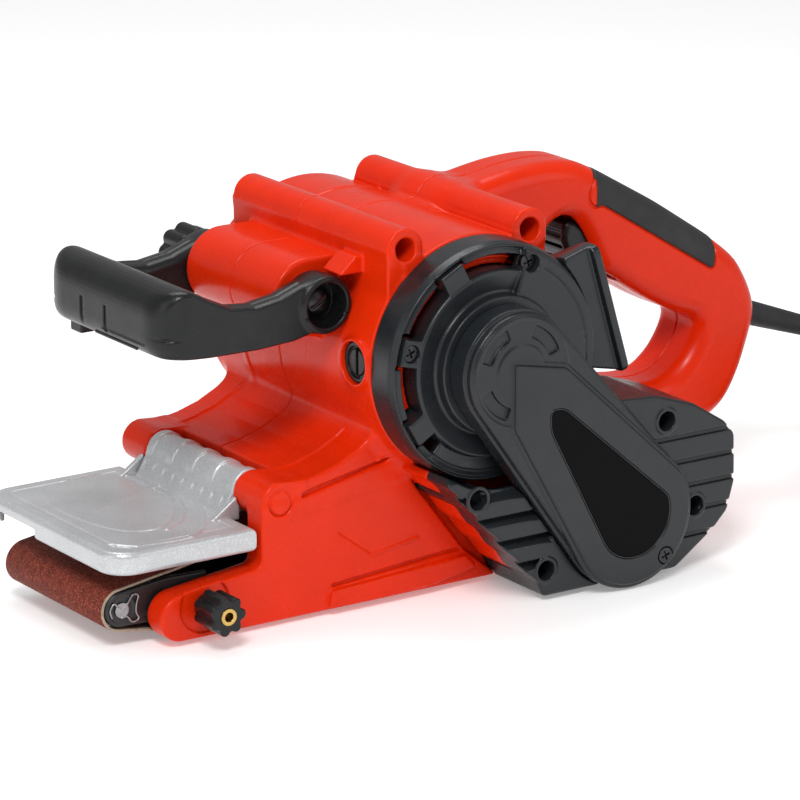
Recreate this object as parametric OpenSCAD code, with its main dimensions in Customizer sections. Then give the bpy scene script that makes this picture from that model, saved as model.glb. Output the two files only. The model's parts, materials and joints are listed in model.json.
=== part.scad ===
// Handheld belt sander for a 75 mm wide belt.
// Frame: origin at the centre of the sanding face, +Z up, +X towards the main handle and the cord.
// -Y is the drive side with its covers, +Y is the open side where the sanding belt comes off.
// Outlines are drawn as [x, z] points and extruded along Y.

/* [Sanding belt] */
// Width of the sanding belt
belt_w = 75; // [74:0.5:76]
// Thickness of the sanding belt
belt_t = 1; // [0.8:0.1:1.2]
// Length of the flat sanding face
face_len = 130; // [124:1:134]
// Distance of the front roller's axis ahead of the origin
nose_x = 105; // [104:0.5:106]
// Height of the front roller's axis
nose_z = 15.3; // [15:0.1:15.6]
// Radius of the belt's outside around the front roller
nose_r = 8.9; // [8.7:0.1:9]
// Distance of the drive roller's axis behind the origin
drive_x = 103.5; // [103:0.5:104]
// Height of the drive roller's axis
drive_z = 29; // [28.5:0.5:29]
// Radius of the belt's outside around the drive roller
drive_r = 26; // [25.5:0.5:26]

/* [Motor housing] */
// Distance of the motor axis behind the origin
motor_x = 46; // [45.5:0.5:46.5]
// Height of the motor axis
motor_z = 98.5; // [98.5:0.5:99]
// Outer radius of the motor barrel
barrel_r = 49; // [48.8:0.1:49]
// Near end of the barrel
barrel_near = -57; // [-57:0.5:-56.5]
// Far end of the barrel
barrel_far = 67; // [66:0.5:68]
// Thickness of the barrel's wall
wall = 4; // [3:0.5:4]
// Plane where the two housing shells meet
seam_y = 8; // [7:0.5:9]

/* [Stand clamp tubes] */
// Radius of the hole through each clamp tube
clamp_hole_r = 4.6; // [4:0.1:5]
// Outer radius of each clamp tube
clamp_tube_r = 8.4; // [8:0.1:8.6]
// Height of the clamp tubes' axes
clamp_tube_z = 145.5; // [145:0.5:146]

/* [Handles] */
// Width of the main handle
handle_w = 34; // [32:0.5:34]
// Radius of the cups on the front handle's arms
cup_r = 11.5; // [11:0.1:11.5]
// Clearance between a moving piece and its neighbour
gap = 0.3; // [0.2:0.05:0.4]

/* [Mains cord] */
// Diameter of the cord
cord_d = 7.5; // [7:0.1:7.6]
// Mean radius of the stored coil's outer turns
coil_r = 46; // [45:0.5:47]
// Layers of turns in the stored coil
coil_layers = 4; // [3:1:4]

/* [Hidden] */
red = "#d62c14";
dark = "#3c4043";
black = "#1d1e20";
silver = "#b9bdc0";
steel = "#8f9498";
round_fn = 72;
eps = 0.1;

motor = [motor_x, motor_z];
drive = [drive_x, drive_z];
nose = [-nose_x, nose_z];
hinge = [-39.9, 50.3];
hinge_r = 8.3;
hinge_pin_r = 3;
boss = [-10, 122.5];
boss_r = 16;
boss_near = -24;
boss_far = 41.6;
bolt_r = 4;
running = 0.05;
clamp_x = [14, 73.2];
tube_near = -57;
tube_far = 55.7;
plate_near = -50;
plate_inner = -38.4;
plate_rear_near = -46;
arm_end = [100.5, 30.3];
arm_top_r = 25;
arm_low_r = 29.5;
arm_face = -92;
arm_back = -77.5;
base_face = -84;
shaft_r = 5;
rotor_r = 4;
bearing_r = 13;
motor_bearing_r = 11;
pulley_near = -88;
pulley_far = -78.4;
motor_pulley_r = 8;
drive_pulley_r = 15;
drive_belt_t = 2;
brush_y = -47;
brush_z = 100.5;
tracking = [-74.7, 15];
handle_near = seam_y - handle_w / 2;
handle_far = seam_y + handle_w / 2;
handle_wall = 5;
pad_t = 3;
trigger_pivot = [152, 111];
trigger_pin_r = 1.5;
lock_at = [166, 114];
exit = [226, 75.5];
exit_slope = 19;
boot_len = 45;
boot_r = 5.6;
boot_tip_r = 4.4;
screw_holes = [[30, 48], [63, 13], [122, 65], [137, 27]];
arm_screw_at = [116.7, 11.5];
coil_at = [296, -58];
plug_at = [294, 23.3, 11];
plug_turn = 30;
plug_len = 36;
plug_w = 34;
plug_h = 26;

// The cord from its boot down to the floor and into the coil
cord_route = [
    [268.5, 8, 60.8], [278, 8, 57], [287, 8, 51], [296, 7.5, 43], [304, 6.5, 34], [311, 5, 25],
    [317, 3, 17.5], [323.5, -0.5, 11], [330, -6, 6.5], [335.5, -13.5, 4.2], [339.5, -22, 3.8],
    [342, -32, 3.8], [343, -44, 3.8], [342, -58, 3.8]
];
// The cord from the coil to the plug
tail_route = [
    [250, -58, 26.4], [250.5, -47, 26.2], [252, -36, 24], [254.5, -26, 19.5], [258, -16, 14],
    [262, -6.5, 8.5], [267, 2.5, 5], [273.5, 10.5, 4.6], [281, 16.5, 7], [288.5, 20.5, 10],
    [294, 23.3, 11]
];

// Outlines of the housing, each running anticlockwise
handle_outline = concat(
    [[92, 70]],
    arc(drive, 30.5, 88, 5, 12),
    [[150, 30], [194, 31], [205, 33.5], [214, 40], [221, 52], [226, 66], [229, 76], [228, 84],
     [224, 93], [218, 102.5], [205, 112.5], [176, 131.5], [149, 147], [141, 151.5], [133, 155],
     [120, 156.4], [106, 155.8], [95, 154.3], [80, 151.5], [62, 147], [60, 120]]
);
loop_outline = [
    [113, 69], [130, 63], [150, 57], [172, 53.5], [182, 55], [190, 61], [195, 68], [198, 75],
    [196, 79.5], [187, 82.5], [173, 89.5], [152, 103], [130, 116], [112, 118]
];
arch_outline = [
    [113, 108], [132, 98], [147, 104], [139, 122], [133, 130.5], [127.5, 132.5], [121, 130],
    [116, 124]
];
apron_outline = [
    [-31, 43], [20, 50.5], [70, 55.2], [70, 85], [25, 85], [4.8, 71.7], [-3, 66.2], [-12, 61.8],
    [-22, 58.8], [-31, 57.3]
];

toe = [-85, 11.5];
plate_outline = concat(
    [[64, 2], [47.6, 15], [20, 51.3], [20, 57], [9, 58.2], [-12, 54.5], [-31, 50]],
    [[-48.3, 50], [-48.6, 25.4]],
    arc(toe, 9.5, 98, 262, 16),
    [[-84, 2]]
);
strip_outline = [[-18.5, 3], [10, 3], [31.6, 4], [52, 8], [47, 13.6], [-17, 10.3]];
strip_t = 2;

function unit(a) = [cos(a), sin(a)];
function arc(c, r, from, to, steps) =
    [for (i = [0 : steps]) c + r * unit(from + (to - from) * i / steps)];
function heading(v) = atan2(v[1], v[0]);

// The direction of the outward normal where a line touches two circles on their left or right
function touch(c1, r1, c2, r2, side) = heading(c2 - c1) + side * acos((r1 - r2) / norm(c2 - c1));

// A closed belt round two circles, anticlockwise
function two_wheels(c1, r1, c2, r2, steps = 24) =
    let (up = touch(c1, r1, c2, r2, 1), down = touch(c1, r1, c2, r2, -1))
    concat(arc(c1, r1, up, 360 + down, steps), arc(c2, r2, down, up, steps));

// The sanding belt's path, inset from its outer face
function belt_path(inset) =
    let (
        start = [-face_len / 2, inset],
        end = [face_len / 2, inset],
        top = touch(nose, nose_r - inset, drive, drive_r - inset, 1),
        front = touch(nose, nose_r - inset, start, 0, -1),
        rear = touch(end, 0, drive, drive_r - inset, -1)
    )
    concat(
        arc(nose, nose_r - inset, top, 360 + front, 20),
        [start, end],
        arc(drive, drive_r - inset, rear, top, 32)
    );

function edge_normal(a, b) = [a[1] - b[1], b[0] - a[0]] / norm(b - a);
// An anticlockwise outline moved inwards by d
function inset(p, d) = [
    for (i = [0 : len(p) - 1])
        let (
            before = edge_normal(p[(i + len(p) - 1) % len(p)], p[i]),
            after = edge_normal(p[i], p[(i + 1) % len(p)])
        )
        p[i] + d * (before + after) / (1 + before * after)
];

// A straight band along the handle's back, between two depths under it
function back_band(top, deep) =
    let (a = [143.9, 150.1], b = [209.8, 109.5], n = edge_normal(a, b))
    [a - n * top, a - n * deep, b - n * deep, b - n * top];

module in_xz(y0, y1) {
    translate([0, y1, 0]) rotate([90, 0, 0]) linear_extrude(height = y1 - y0) children();
}

module rod_y(c, r, y0, y1) {
    in_xz(y0, y1) translate(c) circle(r = r, $fn = round_fn);
}

module ring_y(c, outer, inner, y0, y1) {
    in_xz(y0, y1) translate(c) difference() {
        circle(r = outer, $fn = round_fn);
        circle(r = inner, $fn = round_fn);
    }
}

// Turns a profile of [radius, depth] points about the motor axis, with depth towards -Y
module about_motor(y) {
    translate([motor_x, y, motor_z]) rotate([90, 0, 0]) rotate_extrude($fn = 96) children();
}

module rod_x(y, z, r, x0, x1) {
    translate([x0, y, z]) rotate([0, 90, 0]) cylinder(r = r, h = x1 - x0, $fn = 48);
}

// A pan-head screw along Y with a cross in its head, whose head lies towards -Y
module screw(at, head_y, length, head_r, shank_r) {
    head_h = 2.2;
    slot_w = 0.9;
    slot_d = 1;
    difference() {
        union() {
            rod_y(at, head_r, head_y, head_y + head_h);
            rod_y(at, shank_r, head_y + head_h, head_y + length);
        }
        for (turn = [0, 90]) in_xz(head_y - eps, head_y + slot_d)
            translate(at) rotate(turn + 20) square([head_r * 1.3, slot_w], center = true);
    }
}

// ---- Housing shells ----

module clamp_tubes() {
    in_xz(tube_near, tube_far) for (x = clamp_x) {
        translate([x, clamp_tube_z]) circle(r = clamp_tube_r, $fn = round_fn);
        translate([x - clamp_tube_r, motor_z + 26]) square([clamp_tube_r, 21]);
        polygon([[x, clamp_tube_z - 18], [x + 8, clamp_tube_z - 10], [x + 7.4, clamp_tube_z - 4],
                 [x, clamp_tube_z]]);
    }
}

module side_plate() {
    in_xz(plate_near, plate_inner) polygon(plate_outline);
    in_xz(plate_rear_near, plate_inner) polygon([
        [20, 2], [128, 2], [148, 16], [155, 36], [150, 60], [120, 74], [60, 80], [16, 66], [16, 40]
    ]);
    in_xz(plate_near - strip_t, plate_near + eps) polygon(strip_outline);
}

module main_handle() {
    in_xz(handle_near, handle_far) difference() {
        polygon(handle_outline);
        polygon(loop_outline);
        polygon(arch_outline);
    }
}

module belt_guard() {
    guard_in = 28.5;
    guard_out = 31.5;
    in_xz(plate_inner - eps, 40) polygon(concat(
        arc(drive, guard_out, -32, 92, 24), arc(drive, guard_in, 92, -32, 24)
    ));
}

module brush_bosses() {
    rod_x(brush_y, brush_z, 9.8, -4.2, 6);
    rod_x(brush_y, brush_z, 9.8, 86, 96.2);
}

module far_end() {
    inner = barrel_far - 4;
    ring_y(motor, motor_bearing_r + 3, motor_bearing_r, inner - 8, inner + eps);
}

// Both shells in one: hollow, with every opening cut
module housing() {
    lip = 3;
    difference() {
        union() {
            rod_y(motor, barrel_r, barrel_near, barrel_far - lip);
            rod_y(motor, barrel_r - lip, barrel_far - lip - eps, barrel_far);
            clamp_tubes();
            in_xz(boss_near, boss_far) {
                translate(boss) circle(r = boss_r, $fn = round_fn);
                polygon([[-10, 106.5], [8, 104], [8, 138.5], [-10, 138.5]]);
            }
            in_xz(plate_near, 57) polygon(apron_outline);
            rod_y(hinge, hinge_r, plate_near, -28);
            rod_y(hinge, hinge_r, 38, 57);
            in_xz(plate_near, -28) polygon([[-36, 46], [-28, 46], [-28, 57.7], [-39.9, 58.6]]);
            in_xz(38, 57) polygon([[-36, 46], [-28, 46], [-28, 57.7], [-39.9, 58.6]]);
            side_plate();
            main_handle();
            belt_guard();
            brush_bosses();
            ring_y(drive, bearing_r + 4, bearing_r, -62, plate_rear_near + eps);
        }
        rod_y(motor, barrel_r - wall, barrel_near - eps, barrel_far - 4);
        in_xz(handle_near + handle_wall, handle_far - handle_wall) difference() {
            polygon(inset(handle_outline, 6.5));
            polygon(inset(loop_outline, -4));
            polygon(inset(arch_outline, -4));
            translate(motor) circle(r = barrel_r, $fn = round_fn);
        }
        in_xz(seam_y - 9, seam_y + 9) polygon([[80, 95], [104, 128], [104, 142], [70, 120]]);
        for (x = clamp_x) rod_y([x, clamp_tube_z], clamp_hole_r, tube_near - eps, tube_far + eps);
        rod_y(boss, bolt_r + running, boss_near - eps, boss_far + eps);
        rod_y(hinge, hinge_pin_r, -46, 54);
        rod_x(brush_y, brush_z, 8.3, -4.3, 8);
        rod_x(brush_y, brush_z, 8.3, 84, 96.3);
        rod_y(tracking, 11, plate_near - eps, plate_near + 1.5);
        rod_y(tracking, 2.6, plate_near, plate_inner + eps);
        rod_y(drive, bearing_r, -62 - eps, plate_inner + eps);
        in_xz(seam_y - 11.5, seam_y + 11.5) polygon([
            [128, 96], [150, 94], [160, 104], [161, 122], [146, 136], [126, 136], [124, 128]
        ]);
        rod_y(trigger_pivot, trigger_pin_r, seam_y - 14, seam_y + 14);
        translate([78, -56, 114]) cube([14, 20, 13]);
        rod_y(lock_at, 4.6, seam_y, handle_far + eps);
        for (turn = [0 : 30 : 330]) in_xz(barrel_far - 5, barrel_far + eps)
            translate(motor) rotate(turn) translate([19, -2]) square([18, 4]);
        translate([exit[0], seam_y, exit[1]]) rotate([0, 90 + exit_slope, 0])
            translate([0, 0, -14]) cylinder(r = boot_r, h = 30, $fn = round_fn);
        pad_shape();
        ear_marks();
        plate_grooves();
        for (at = housing_screw_at) rod_y(at, 3.4, handle_far - 3, handle_far + eps);
    }
    far_end();
    ring_y(motor, barrel_r - wall + eps, 36, barrel_near, barrel_near + 1.4);
    difference() {
        ring_y(motor, 43.7, 38.3, barrel_near - 3.6, barrel_near + eps);
        for (at = end_screw_at) rod_y(at, 1.8, barrel_near - 4, barrel_near - eps);
    }
}

housing_screw_at = [[118, 147], [188, 101], [214, 72], [192, 44]];

module ear_marks() {
    ring_y(hinge, 5.4, 4.8, plate_near - eps, plate_near + 0.5);
}

module plate_grooves() {
    in_xz(plate_near - eps, plate_near + 1.6) {
        polygon([[-30, 50.5], [9, 58.6], [12, 60.6], [-30, 52.6]]);
        polygon([[-16, 11.2], [46, 15.4], [45, 17], [-16, 12.4]]);
    }
}

module near_housing() {
    color(red) intersection() {
        housing();
        translate([-150, seam_y - 200, -20]) cube([400, 200, 200]);
    }
}

module far_housing() {
    color(red) intersection() {
        housing();
        translate([-150, seam_y, -20]) cube([400, 200, 200]);
    }
}

// ---- Base frame, platen and belt ----

module base_frame() {
    floor_z = 4;
    far = 36;
    color(black) difference() {
        union() {
            in_xz(plate_inner, -34.4)
                polygon([[-54, floor_z], [68, floor_z], [74, 10], [74, 40], [20, 34], [-54, 22]]);
            in_xz(plate_inner, far) polygon([[-64, floor_z], [66, floor_z], [66, 7], [-64, 7]]);
            for (x = [-15, 30, 62]) in_xz(plate_inner, 24) translate([x, 6]) square([3, 14]);
            translate([-60, -18, 6]) cube([36, 36, 15]);
        }
        translate([-60 - eps, -14 - gap, 9 - gap]) cube([33, 28 + 2 * gap, 8 + 2 * gap]);
        translate([lever_at[0], lever_at[1], 5]) cylinder(r = 2.5, h = 5, $fn = round_fn);
    }
}

module platen() {
    half = face_len / 2 - 1;
    color(steel) in_xz(-36, 36)
        polygon([[-half, 2.4], [half, 2.4], [half + 3, 3.2], [half + 2, 4], [-half - 2, 4],
                 [-half - 3, 3.2]]);
}

module platen_pad() {
    half = face_len / 2 - 2;
    color(black) in_xz(-36, 36)
        polygon([[-half, belt_t + gap], [half, belt_t + gap], [half, 2.4], [-half, 2.4]]);
}

module sanding_belt() {
    color("#7a3b30") in_xz(-belt_w / 2, belt_w / 2) difference() {
        polygon(belt_path(0));
        polygon(belt_path(belt_t));
    }
}

// ---- Front roller on its sliding yoke ----

axle_r = 3;
roller_r = nose_r - belt_t - gap;
spring_r = 2.2;
spring_wire = 0.6;
spring_z = 13;

module front_yoke() {
    cheek_r = 7.2;
    color(black) rod_x(0, spring_z, 1.2, -52 - eps, -37);
    color(black) difference() {
        union() {
            for (y = [[-37.2, -34.6], [34.6, 37.2]]) in_xz(y[0], y[1]) {
                translate(nose) circle(r = cheek_r, $fn = round_fn);
                polygon([[-105, 8.3], [-84, 7.6], [-66, 7.6], [-66, 24], [-84, 24.4], [-105, 22.4]]);
            }
            translate([-93, -36, 9]) cube([9, 72, 11]);
            translate([-93, -14, 9]) cube([49, 28, 8]);
        }
        rod_y(nose, axle_r, -40, 40);
        rod_x(0, spring_z, spring_r + spring_wire + gap, -52, -44 + eps);
    }
}

module front_axle() {
    color(steel) rod_y(nose, axle_r, -38, 38);
}

module axle_clips() {
    color(steel) for (y = [-37.7, 37.2]) ring_y(nose, 4.6, axle_r, y, y + 0.5);
}

module front_roller() {
    color(steel) ring_y(nose, roller_r, axle_r + running, -34.2, 34.2);
}

// A wire coil along X, swept round one turn after another
module tension_spring() {
    turns = 6;
    length = 15.5;
    per_turn = 14;
    sides = 6;
    rings = turns * per_turn;
    points = [for (i = [0 : rings], k = [0 : sides - 1])
        let (a = 360 * i / per_turn, r = spring_r + spring_wire * cos(360 * k / sides))
        [-43.3 + length * i / rings + spring_wire * sin(360 * k / sides), r * cos(a),
         spring_z + r * sin(a)]];
    skin = [for (i = [0 : rings - 1], k = [0 : sides - 1])
        [i * sides + k, i * sides + (k + 1) % sides, (i + 1) * sides + (k + 1) % sides,
         (i + 1) * sides + k]];
    color(silver) polyhedron(points, concat(
        skin, [[for (k = [sides - 1 : -1 : 0]) k], [for (k = [0 : sides - 1]) rings * sides + k]]
    ));
}

lever_at = [-24, 30];

module tension_lever() {
    hub_r = 5;
    color(black) difference() {
        union() {
            translate([lever_at[0], lever_at[1], 8]) cylinder(r = hub_r, h = 14, $fn = round_fn);
            translate([lever_at[0], lever_at[1], 12]) cube([50, 5, 8]);
            translate([20, lever_at[1] + 1, 13]) cube([8, 5.6, 6]);
        }
        translate([lever_at[0], lever_at[1], 7])
            cylinder(r = 2.5 + running, h = 16, $fn = round_fn);
    }
}

module lever_pin() {
    color(steel) translate([lever_at[0], lever_at[1], 5]) cylinder(r = 2.5, h = 18, $fn = round_fn);
}

// ---- Tracking adjuster ----

module tracking_knob() {
    core_r = 6.6;
    lobes = 7;
    lobe_at = 6;
    color(black) difference() {
        in_xz(-67, plate_near - gap) translate(tracking) {
            circle(r = core_r, $fn = round_fn);
            for (i = [0 : lobes - 1]) rotate(360 * i / lobes) translate([lobe_at, 0])
                circle(r = 2.2, $fn = 24);
        }
        rod_y(tracking, 3.4, -68, -58);
        rod_y(tracking, 2.5, -60, plate_near);
    }
}

module tracking_insert() {
    color("#b8912f") ring_y(tracking, 3.4, 1.9, -67.4, -58);
}

module tracking_stud() {
    color(steel) rod_y(tracking, 2.5, -58, -37.5);
}

// ---- Drive roller, shaft and drive belt ----

core_r = 21.5;
sleeve_r = drive_r - belt_t - gap;

module drive_roller() {
    color(silver) {
        ring_y(drive, core_r, 17.5, -36.4, 36.4);
        ring_y(drive, 17.5, 9, -12, -7);
        ring_y(drive, 17.5, 9, 22, 27);
        ring_y(drive, 9, shaft_r, -36.4, 36.4);
    }
}

module roller_sleeve() {
    color(black) ring_y(drive, sleeve_r, core_r, -36.4, 36.4);
}

module drive_shaft() {
    color(steel) rod_y(drive, shaft_r, pulley_near, 38);
}

module shaft_bearings() {
    color(silver) for (y = [-61, -47]) ring_y(drive, bearing_r, shaft_r + running, y, y + 8);
}

module pulley(c, r, bore) {
    color(silver) {
        ring_y(c, r, bore, pulley_near + 1, pulley_far - 1);
        for (y = [pulley_near, pulley_far - 1]) ring_y(c, r + 1.2, bore, y, y + 1);
    }
}

module drive_pulley() {
    pulley(drive, drive_pulley_r, shaft_r);
}

module motor_pulley() {
    pulley(motor, motor_pulley_r, rotor_r);
}

module drive_belt() {
    color(black) in_xz(pulley_near + 1.4, pulley_far - 1.4) difference() {
        polygon(two_wheels(motor, motor_pulley_r + gap + drive_belt_t,
                           drive, drive_pulley_r + gap + drive_belt_t));
        polygon(two_wheels(motor, motor_pulley_r + gap, drive, drive_pulley_r + gap));
    }
}

// ---- Motor ----

module rotor_shaft() {
    color(steel) rod_y(motor, rotor_r, pulley_near, 62);
}

module armature_core() {
    core_near = -26;
    core_far = 20;
    slots = 12;
    color(steel) difference() {
        ring_y(motor, 22, rotor_r, core_near, core_far);
        for (i = [0 : slots - 1]) in_xz(core_near - 1, core_far + 1)
            translate(motor) rotate(360 * i / slots) translate([17, -1]) square([6, 2]);
    }
    color("#a8642c") for (y = [core_near - 7, core_far])
        ring_y(motor, 17.5, rotor_r, y, y + 7);
}

module commutator() {
    bars = 24;
    color("#b8792f") difference() {
        ring_y(motor, 12, rotor_r, -54, -36);
        for (i = [0 : bars - 1]) in_xz(-53, -38)
            translate(motor) rotate(360 * i / bars) translate([11.4, -0.2]) square([2, 0.4]);
    }
}

module cooling_fan() {
    blades = 11;
    color(black) {
        ring_y(motor, 40, rotor_r, 32, 34);
        ring_y(motor, 9, rotor_r, 34, 46);
        in_xz(34, 46) translate(motor) for (i = [0 : blades - 1])
            rotate(360 * i / blades) translate([8.5, -0.8]) square([31, 1.6]);
    }
}

module motor_bearings() {
    color(silver) for (y = [barrel_near - 7.2, barrel_far - 11.5])
        ring_y(motor, motor_bearing_r, rotor_r + running, y, y + 7);
}

module stator_core() {
    color(steel) difference() {
        rod_y(motor, barrel_r - wall, -26, 20);
        in_xz(-27, 21) translate(motor) {
            circle(r = 22.8, $fn = round_fn);
            for (side = [-1, 1]) translate([side * 28, 0]) square([17, 44], center = true);
        }
    }
}

module field_windings() {
    color("#a8642c") for (side = [-1, 1])
        translate([motor_x + side * 29.5 - 5, -33, motor_z - 19]) difference() {
            cube([10, 60, 38]);
            translate([-1, 9, 9]) cube([12, 42, 20]);
        }
}

module brush_pair() {
    for (side = [-1, 1]) translate([motor_x, brush_y, brush_z]) rotate([0, side * 90, 0])
        children();
}

module carbon_brushes() {
    color("#333333") brush_pair() translate([-3, -5, 12.3]) cube([6, 10, 12]);
}

module brush_holders() {
    color("#b8912f") brush_pair() difference() {
        translate([-4.5, -6.5, 14]) cube([9, 13, 26]);
        translate([-3.2, -5.2, 13]) cube([6.4, 10.4, 28]);
    }
}

module brush_caps() {
    color(black) brush_pair() difference() {
        union() {
            translate([0, 0, 43]) cylinder(r = 8.3, h = 5.6, $fn = round_fn);
            translate([0, 0, 40.2]) cylinder(r = 6, h = 3, $fn = round_fn);
        }
        translate([-6, -0.8, 47.6]) cube([12, 1.6, 2]);
    }
}

// ---- Drive-side covers ----

module cover_spoke(turn, width) {
    in_xz(barrel_near - 16, barrel_near - 4)
        translate(motor) rotate(turn) translate([36.5, -width / 2]) square([9, width]);
}

module cover_sector(from, to, shallow, deep) {
    in_xz(barrel_near - deep, barrel_near - shallow) polygon(concat(
        arc(motor, 46.2, from, to, 24), arc(motor, 27.5, to, from, 20)
    ));
}

module motor_end_cover() {
    color(dark) difference() {
        union() {
            about_motor(barrel_near)
                polygon([[44, 0], [48.5, 0], [48.5, 11.5], [46.5, 15], [44, 15]]);
            about_motor(barrel_near) polygon([
                [motor_bearing_r, 0], [14.5, 0], [14.5, 9], [35.5, 9], [35.5, 4], [38, 4],
                [38, 16.5], [37, 17.5], [29, 13.5], [28, 14.5], [28, 20.4], [22, 20.4], [22, 12],
                [6, 12], [6, 7.3], [motor_bearing_r, 7.3]
            ]);
            cover_spoke(118, 11);
            cover_spoke(166, 11);
            cover_spoke(211, 10);
            cover_sector(-62, 73, 10, 18.5);
            cover_sector(229, 300, 4, 14);
        }
        rod_y(motor, 21.9, -90, -69.1);
        for (at = end_screw_at) {
            rod_y(at, 3.4, -80, -70);
            rod_y(at, 1.8, -80, -56);
        }
    }
}

end_screw_at = [motor + 41.3 * unit(166), motor + 41.6 * unit(68.3)];

module dust_outlet() {
    port_r = 15;
    port_y = -51;
    top = [96.7, 138.8];
    foot = [112.9, 84.9];
    back = edge_normal(foot, top);
    flange_t = 3.6;
    port_len = 7;
    middle = (top + foot) / 2;
    half = norm(top - foot) / 2;
    color(dark) difference() {
        intersection() {
            union() {
                in_xz(-72, -30) polygon([top, top + back * flange_t, foot + back * flange_t, foot]);
                in_xz(-69, -33) polygon([
                    [82, 128], [82, 136.5], top + back * 2, foot + back * 2, [95, 87.7], [84, 88]
                ]);
            }
            along_port(middle, port_y, back) translate([0, 0, -60]) linear_extrude(height = 120)
                polygon([
                    [-half - 2, -22], [half + 2, -22], [half + 2, -12], [14.5, 18.5],
                    [-14.5, 18.5], [-half - 2, -12]
                ]);
        }
        rod_y(motor, barrel_r + 0.2, -80, -20);
        intersection() {
            in_xz(-66, -36) polygon([
                [80, 124], [88, 131], top + back * port_len, foot + back * port_len + [0, 4],
                [80, 92]
            ]);
            along_port(middle, port_y, back) translate([0, 0, -60]) linear_extrude(height = 120)
                polygon([
                    [-half, -16], [half, -16], [half, -12], [12.5, 15.5],
                    [-12.5, 15.5], [-half, -12]
                ]);
        }
        along_port(middle, port_y, back) translate([0, 0, -5])
            cylinder(r = port_r, h = 15, $fn = round_fn);
    }
}

// Turns local Z to the port's outward direction, with local Y kept along Y
module along_port(middle, y, back) {
    translate([middle[0], y, middle[1]]) rotate([0, -heading(back), 0]) rotate([0, 90, 0])
        children();
}

base_outline = concat(
    [[62, 2], [128, 2], [147, 15], [154, 22], [157.5, 34], [157, 54], [152, 60], [136, 70],
     [118, 76], [60, 80], [25, 69]],
    [for (i = [1 : 5]) each [[6 + 9.5 * i, 66 - 10.5 * i], [11 + 9.5 * i, 62 - 10.5 * i]]]
);

module drive_cover_base() {
    wall_t = 2.5;
    rib_h = 10.5;
    groove_w = 1.8;
    color(dark) difference() {
        in_xz(base_face, plate_rear_near) polygon(base_outline);
        in_xz(base_face + wall_t, plate_rear_near + eps) difference() {
            polygon(inset(base_outline, wall_t));
            for (at = screw_holes) translate(at) circle(r = 6, $fn = round_fn);
        }
        rod_y(motor, barrel_r + gap, -90, -40);
        in_xz(plate_near - gap, -40) {
            polygon(inset(plate_outline, -gap));
            polygon(inset(apron_outline, -gap));
        }
        in_xz(plate_near - strip_t - gap, -40) polygon(inset(strip_outline, -gap));
        in_xz(-90, arm_back) polygon(two_wheels(motor, arm_top_r + gap, arm_end, arm_low_r + gap));
        for (i = [0 : 4]) in_xz(base_face - eps, base_face + 1.6)
            translate([0, 14 + rib_h * i]) square([170, groove_w]);
        for (at = screw_holes) {
            rod_y(at, 3.8, -90, -64);
            rod_y(at, 1.8, -70, -40);
        }
    }
}

module drive_cover_arm() {
    lid_t = 2;
    color(dark) difference() {
        union() {
            in_xz(arm_face + 2, arm_back)
                polygon(two_wheels(motor, arm_top_r, arm_end, arm_low_r));
            in_xz(arm_face, arm_face + 2 + eps) polygon(concat(
                [[42, 103], [42, 76]],
                arc(arm_end, arm_low_r - 1.2, 213, 392, 32),
                [[67, 98]]
            ));
        }
        in_xz(arm_face + 2 + lid_t, arm_back + eps)
            polygon(two_wheels(motor, arm_top_r - 2.5, arm_end, arm_low_r - 2.5));
        for (turn = [20, 110, 200]) in_xz(arm_face + 1.9, arm_face + 3) difference() {
            polygon(concat(arc(motor, 19.5, turn, turn + 44, 12), arc(motor, 14.5, turn + 44, turn, 12)));
            polygon([[43, 102.5], [43, 60], [90, 60], [66, 98]]);
        }
        inlay_shape(arm_face - eps, arm_face + 0.8);
        rod_y(arm_screw_at, 3.6, arm_face - eps, arm_face + 2.4);
        rod_y(arm_screw_at, 1.8, arm_face - eps, arm_face + 6);
    }
    color(dark) ring_y(arm_screw_at, 3.4, 1.8, arm_face + 2 + lid_t, arm_back);
}

module inlay_shape(y0, y1) {
    in_xz(y0, y1) polygon(concat(
        [[59, 82], [59, 73]], arc(arm_end + [0.5, 0.7], 17.8, 213, 380, 24), [[66, 81.7]]
    ));
}

module cover_inlay() {
    color("#080809") inlay_shape(arm_face + 0.1, arm_face + 0.8);
}

module cover_base_screws() {
    color(steel) for (at = screw_holes) screw(at, -66.2, 15, 3.2, 1.7);
}

module end_cover_screws() {
    color(steel) for (at = end_screw_at) screw(at, -72.2, 14, 3.2, 1.7);
}

module arm_screw() {
    color(steel) screw(arm_screw_at, arm_face + 0.2, 10, 3.2, 1.7);
}

module housing_screws() {
    color(steel) mirror([0, 1, 0]) for (at = housing_screw_at)
        screw(at, -handle_far + 0.4, 2.55, 3.2, 1.7);
}

// ---- Front cover ----

cover_near = -49;
cover_far = 54;

module front_cover() {
    top_z = 42;
    skirt = 10;
    skin = 3;
    front = -115;
    rear = -50.2;
    corner = 12;
    plan = concat(
        [[rear, cover_near]], [[rear, cover_far]],
        arc([front + corner, cover_far - corner], corner, 90, 180, 10),
        arc([front + corner, cover_near + corner], corner, 180, 270, 10)
    );
    color(silver) difference() {
        union() {
            translate([0, 0, top_z - skirt]) linear_extrude(height = skirt) polygon(plan);
            rod_y(hinge, hinge_r - gap, -28 + gap, 38 - gap);
            in_xz(-28 + gap, 38 - gap)
                polygon([[-60, 39], [-42, 42.6], [-39.9, 50], [-46, 55.4], [-60, 42]]);
        }
        translate([0, 0, top_z - skirt - eps]) linear_extrude(height = skirt - skin)
            polygon(inset(plan, skin));
        rod_y(hinge, hinge_pin_r + running, -30, 40);
        translate([front - 1, 12, top_z - skirt - eps]) cube([6, 28, 4.5]);
        translate([rear - 10, cover_near + skin, top_z - skirt - eps])
            cube([12, cover_far - cover_near - 2 * skin, skirt - skin + eps]);
    }
}

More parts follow.
